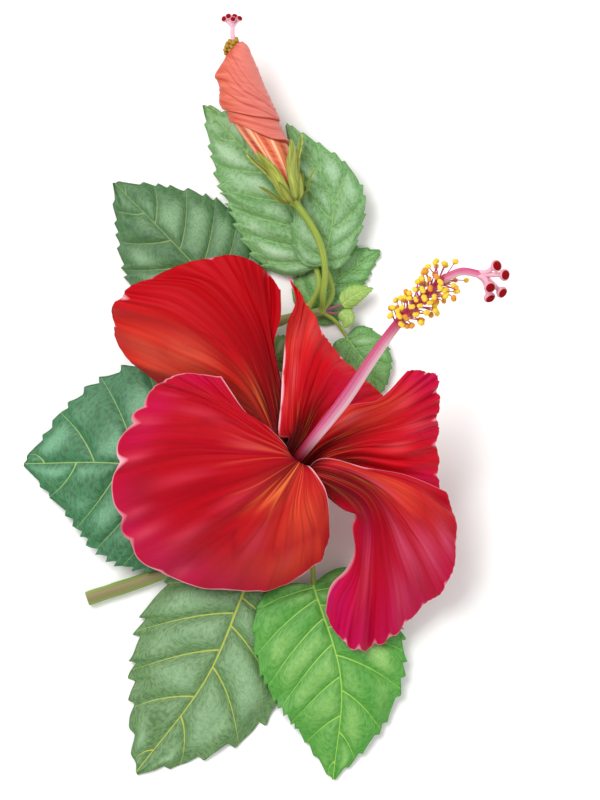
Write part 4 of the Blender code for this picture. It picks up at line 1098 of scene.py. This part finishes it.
def style():
    """The style: it comes out of the column's tip and parts into five, each with its stigma."""
    line = spline([column_line(101)[-1] - 1.0 * FLOWER_AXIS, *STYLE_ROUTE], np.linspace(0, 1, 30))
    sides = 18
    body = tube_shell(line, np.linspace(1.3, 1.25, 30), sides)
    body["stain"][:, 0] = np.tile(shaded_side(sides), len(body["points"]) // sides)
    shells = [body]
    root = line[-4]
    for tip in STYLE_TIPS:
        tip = np.array(tip)
        way = unit(tip - root)
        bend = root + 1.6 * unit(line[-1] - line[-3]) + 2.4 * way
        branch = spline([root, bend, tip - 0.6 * way], np.linspace(0, 1, 14))
        part = tube_shell(branch, np.linspace(1.0, 0.75, 14), 12)
        part["stain"][:, 0] = 0.35
        shells.append(part)
        face = unit(way + np.array([0.1, -0.1, 0.9]))
        shells += stigma(tip, face, STIGMA_RADIUS, (1, 2))
    build("style", shells, ["column_rose", "stigma_rim", "stigma_velvet"])


# ---------------------------------------------------------------- calyx and closed flower

def calyx(name, base, axes, scale, cup, lobe_length, flare, twist):
    """A calyx: a cup whose rim runs out into five pointed lobes, each keeled down its middle."""
    axis, side, top = axes
    rows, around = 50, 150
    t, turn = np.meshgrid(np.linspace(0, 1, rows), np.arange(around) * 2 * math.pi / around, indexing="ij")
    lobe = 1 - np.abs(2 * np.mod(5 * (turn - twist) / (2 * math.pi) - 0.5, 1) - 1)
    height = (0.6 + t * (cup + lobe_length * lobe**0.75)) * scale
    radius = np.interp(height / scale, [0.6, 1.2, 2.0, 6.0, 11.0, 14.0, 17.5, 20.0, 27.0],
                       [1.2, 3.4, 4.6, 5.6, 6.3, 7.0, 7.9, 8.8, 11.0]) * scale
    radius = radius + flare * scale * smooth(height / scale, 10, 26) ** 1.5
    radius = radius + 0.5 * scale * (np.abs(lobe - 0.5) * 2 - 0.5) * smooth(t, 0.1, 0.5)
    out = np.cos(turn)[..., None] * side + np.sin(turn)[..., None] * top
    grid = base + height[..., None] * axis + radius[..., None] * out
    lay = np.stack([turn / (2 * math.pi) * 3, t, 1.2 * (1 - lobe)], -1)
    skin = sheet_shell(grid[:, ::-1], SEPAL_THICKNESS, lay[:, ::-1], None, wrap=True, thin_edge=0)
    build(name, [skin], ["sepal_green"])


def epicalyx(name, base, axes, scale, bracts, points):
    """An epicalyx: narrow keeled bracts round the foot of the calyx, curving out at their tips."""
    axis, side, top = axes
    shells = []
    for index in range(bracts):
        turn = (index + 0.45) * 2 * math.pi / bracts
        out = math.cos(turn) * side + math.sin(turn) * top
        across = np.cross(axis, out)
        spread = 1 + 0.15 * math.sin(index * 2.3)
        guides = [base + scale * (a * axis + r * (1 + (spread - 1) * a / 13) * out) for a, r in points]
        line = spline(guides, np.linspace(0, 1, 30))
        share, u = np.meshgrid(np.linspace(0, 1, 30), np.linspace(-1, 1, 9), indexing="ij")
        half = scale * (1.35 * np.sin(math.pi * np.clip(share * 0.92 + 0.08, 0, 1)) ** 0.7 + 0.06)
        grid = line[:, None] + (u * half)[..., None] * across + (0.5 * scale * u**2)[..., None] * out
        lay = np.stack([u * 0.5 + index, share, 1.2 * np.abs(u)], -1)
        shells.append(sheet_shell(grid, 0.7 * scale + 0.15, lay, None, thin_edge=0.4))
    build(name, shells, ["sepal_green"])


def furled_petals(axis, side, top):
    """The furled petals: a body that one petal wraps round, with its free edges and slanting creases."""
    rows, around = 320, 200
    places = np.linspace(0, 1, rows)
    profile = spline(FURLED_OUTLINE, places)
    share, turn = np.meshgrid(places, np.arange(around) * 2 * math.pi / around, indexing="ij")
    along, girth = profile[:, :1], profile[:, 1:]
    leftward = girth * np.cos(turn)

    def past(crossing, slope, wobble):
        """How far a point lies beyond a slanting line round the flower."""
        return along - slope * leftward - crossing - wobble * waves(turn / (2 * math.pi), int(crossing), 2, 5)

    swell = np.zeros_like(share)
    edge = np.zeros_like(share)
    for crossing, slope, rise in FURLED_EDGES:
        beyond = past(crossing, slope, 0.35)
        swell += rise * smooth(beyond, -0.15, 0.15) * (0.55 + 0.45 * np.exp(-np.maximum(beyond, 0) / 4))
        edge = np.maximum(edge, np.exp(-((beyond + 0.25) / 0.30) ** 2))
    for crossing, slope, rise in FURLED_CREASES:
        beyond = past(crossing, slope, 0.5)
        fold = np.exp(-((beyond - 1.0) / 1.2) ** 2) - np.exp(-(beyond / 0.45) ** 2)
        swell += rise * fold * (0.25 + 0.75 * np.abs(np.sin(turn)))
        edge = np.maximum(edge, 0.55 * rise / 0.42 * np.exp(-(beyond / 0.35) ** 2))
    first_edge = FURLED_EDGES[0][:2]
    slant = (along - 0.75 * leftward) / 50
    pleating = waves(turn / (2 * math.pi) + 0.1 * share, 14, 3, 9)
    lower = 1 - smooth(past(*first_edge, 0.35), -0.2, 0.1)
    fine = 0.08 * waves(slant, 8, 14, 34, 9) * smooth(past(*first_edge, 0), 0, 3)
    pleats = 0.28 * pleating * lower * smooth(share, 0.05, 0.2)
    flaps = sum(rise * np.exp(-((along - place) / size) ** 2) for place, size, rise in FURLED_FLAPS)
    flaps = flaps * np.clip(np.cos(turn - 0.25), 0, 1) ** 5
    reach = girth * (1 - 0.05 * lower) + swell - 0.7 * smooth(past(*first_edge, 0), 0, 4)
    reach = reach + fine + pleats + flaps
    bow = BUD_BOW * np.sin(math.pi * (along / FURLED_OUTLINE[-1][0]) ** 2)
    grid = (
        BUD_BASE + along[..., None] * axis + bow[..., None] * side
        + (reach * np.cos(turn))[..., None] * side + (reach * np.sin(turn))[..., None] * top
    )
    faces = grid_faces(rows, around, wrap=True)
    faces += [tuple(range(around - 1, -1, -1)), tuple(range((rows - 1) * around, rows * around))]
    stain = np.zeros((rows, around, 4))
    # Painted highlight on the raised folds of the lit side.
    lit = np.clip(0.5 - 0.5 * np.cos(turn + 0.3), 0, 1)
    stain[..., 0] = np.clip(0.25 + 0.9 * swell, 0, 1) * (1 - lower) * lit
    # Painted shade just under each free edge and along each crease.
    stain[..., 1] = edge
    # The inner petal's own orange, stronger on the crests of its pleats as painted highlight, and weaker in
    # their troughs as painted shade.
    stain[..., 2] = lower * np.clip(0.55 + 0.75 * pleating, 0, 1)
    lay = np.stack([turn / (2 * math.pi), share, slant], -1)
    skin = shell(grid.reshape(-1, 3), faces, lay.reshape(-1, 3), stain)
    build("closed_flower_petals", [skin], ["wilted_petal"])
    return grid[-1].mean(axis=0)


def flower_stalk(name, twig_share, route, end, radii, foot_swell, fade, rings):
    """A flower's stalk, which swells where it leaves the twig and more where it meets the calyx."""
    along = np.linspace(0, 1, rings)
    line = spline([twig_at(twig_share), *route, end], along)
    swell = foot_swell * np.exp(-(((1 - along) / fade) ** 2)) + 0.5 * np.exp(-((along / fade) ** 2))
    build(name, [tube_shell(line, np.linspace(*radii, rings) + swell, 20)], ["stalk_green"])


def closed_flower():
    """The closed flower: calyx, stalk, the furled petals, and the style that stands out of them."""
    axis = unit(BUD_DIRECTION)
    side = unit(np.cross([0, 0, 1], axis))
    top = np.cross(axis, side)
    axes = (axis, side, top)
    calyx("closed_flower_calyx", BUD_BASE, axes, CLOSED_SCALE, 4.0, 23.0, 2.4, 0.925)
    epicalyx("closed_flower_epicalyx", BUD_BASE, axes, CLOSED_SCALE, 7,
             [(0.0, 2.6), (2.0, 6.0), (6.0, 8.6), (9.0, 10.6), (11.5, 12.8)])
    end = BUD_BASE + 0.3 * axis
    flower_stalk("closed_flower_stalk", 1.0, BUD_STALK_ROUTE, end, (0.95, 1.2), 0.9, 0.03, 90)
    tip = furled_petals(axis, side, top)
    closed_flower_style(tip, axis, side)


def closed_flower_style(tip, axis, side):
    """What stands out of the furled petals: dry anthers on the column's tip, and the stigmas."""
    up = np.array([0, 0, 1.0])
    root = tip + 1.2 * side - 1.0 * axis
    bend = root + 4.2 * axis - 0.5 * side
    guides = [root - 1.5 * axis, root + 1.0 * axis, bend, bend + 2.0 * axis - 0.8 * side]
    line = spline(guides, np.linspace(0, 1, 20))
    shells = [tube_shell(line, np.linspace(0.95, 0.7, 20), 14)]
    shells[0]["stain"][:, 0] = 0.25
    anthers = 26
    for index in range(anthers):
        turn = index * 2.4
        out = math.cos(turn) * side + math.sin(turn) * up
        share = index / (anthers - 1)
        out_reach = 1.7 + 0.5 * math.sin(index * 1.7) + 0.7 * max(math.cos(turn), 0)
        anther = root + (3.2 * share - 0.8) * axis + out_reach * out + 1.2 * (1 - share) * side
        filament = np.linspace(root + (2.2 * share - 1.0) * axis, anther, 4)
        shells.append(tube_shell(filament, [0.2] * 4, 6, finish=1))
        shells.append(kidney(anther, out, 0.78, 100 + index, 2))
    for out_side, out_axis, out_up in CLOSED_STIGMAS:
        end = line[-1] + out_side * side + out_axis * axis + out_up * up
        branch = spline([line[-3], line[-1], end], np.linspace(0, 1, 8))
        part = tube_shell(branch, np.linspace(0.6, 0.5, 8), 8)
        part["stain"][:, 0] = 0.2
        shells.append(part)
        shells += stigma(end, unit(0.5 * axis + 0.25 * out_side * side + 1.0 * up), 1.05, (3, 4))
    finishes = ["column_rose", "filament_magenta", "anther_dry", "stigma_rim", "stigma_velvet"]
    build("closed_flower_style", shells, finishes)


def open_flower():
    """The open flower: petals, column and style, and under them the calyx, epicalyx and stalk."""
    for name in PETALS:
        petal(name)
    staminal_column()
    style()
    axes = (FLOWER_AXIS, FLOWER_SIDE, FLOWER_TOP)
    base = THROAT - (TUBE_LENGTH + 1.5) * FLOWER_AXIS
    calyx("calyx", base, axes, 1.0, 9.5, 10.0, 0.0, 0.0)
    bract = [(-0.4, 2.4), (0.8, 5.0), (5.0, 7.6), (9.5, 9.2), (13.0, 11.6)]
    epicalyx("epicalyx", base, axes, 1.0, 7, bract)
    end = base - 0.2 * FLOWER_AXIS
    flower_stalk("flower_stalk", TWIG_NODES[0], FLOWER_STALK_ROUTE, end, (1.2, 1.6), 1.2, 0.05, 60)


# ---------------------------------------------------------------- floor, light and camera

def studio():
    """A pale floor, a large soft lamp from the upper left, a weak one opposite, and a high camera."""
    mesh = bpy.data.meshes.new("floor")
    half = 3.0
    corners = [(-half, -half, 0), (half, -half, 0), (half, half, 0), (-half, half, 0)]
    mesh.from_pydata(corners, [], [(0, 1, 2, 3)])
    floor = bpy.data.objects.new("floor", mesh)
    bpy.context.scene.collection.objects.link(floor)
    # Matt white paper: its fine tooth keeps the light from making any bright spot on it.
    material = bpy.data.materials.new("floor_paper")
    material.use_nodes = True
    tree = material.node_tree
    shader = tree.nodes["Principled BSDF"]
    tooth = add(tree, "ShaderNodeTexNoise", {"Scale": 900.0, "Detail": 2.0}).outputs["Fac"]
    rough = add(tree, "ShaderNodeMapRange", {0: tooth, 3: 0.8, 4: 0.95}).outputs[0]
    tree.links.new(rough, shader.inputs["Roughness"])
    shader.inputs["Base Color"].default_value = linear("#F8F8F6")
    shader.inputs["Specular IOR Level"].default_value = 0.1
    mesh.materials.append(material)

    world = bpy.data.worlds.new("studio")
    world.use_nodes = True
    world.node_tree.nodes["Background"].inputs[0].default_value = (1.0, 1.0, 1.0, 1.0)
    world.node_tree.nodes["Background"].inputs[1].default_value = 0.62
    bpy.context.scene.world = world
    for name, place, size, power in (
        ("key_lamp", (-0.6, 0.6, 1.45), 0.9, 24.0),
        ("fill_lamp", (0.9, -0.5, 1.1), 1.0, 5.0),
    ):
        lamp = bpy.data.lights.new(name, "AREA")
        lamp.size = size
        lamp.energy = power
        held = bpy.data.objects.new(name, lamp)
        held.location = place
        held.rotation_euler = (-Vector(place)).to_track_quat("-Z", "Y").to_euler()
        bpy.context.scene.collection.objects.link(held)

    middle = (np.array([-0.64, 16.96, 35.0]) + ROW_SHIFT) * MM
    camera = bpy.data.cameras.new("camera")
    held = bpy.data.objects.new("camera", camera)
    distance = 6.0
    frame_height = 0.256  # at the height of the flower, in metres
    camera.sensor_width = 36.0
    camera.lens = camera.sensor_width * distance / frame_height
    held.location = (middle[0], middle[1], middle[2] + distance)
    held.rotation_euler = (0, 0, 0)
    bpy.context.scene.collection.objects.link(held)
    bpy.context.scene.camera = held
    bpy.context.scene.view_settings.view_transform = "Standard"


make_finishes()
open_flower()
for leaf_name in LEAVES:
    leaf(leaf_name)
twig()
closed_flower()
studio()
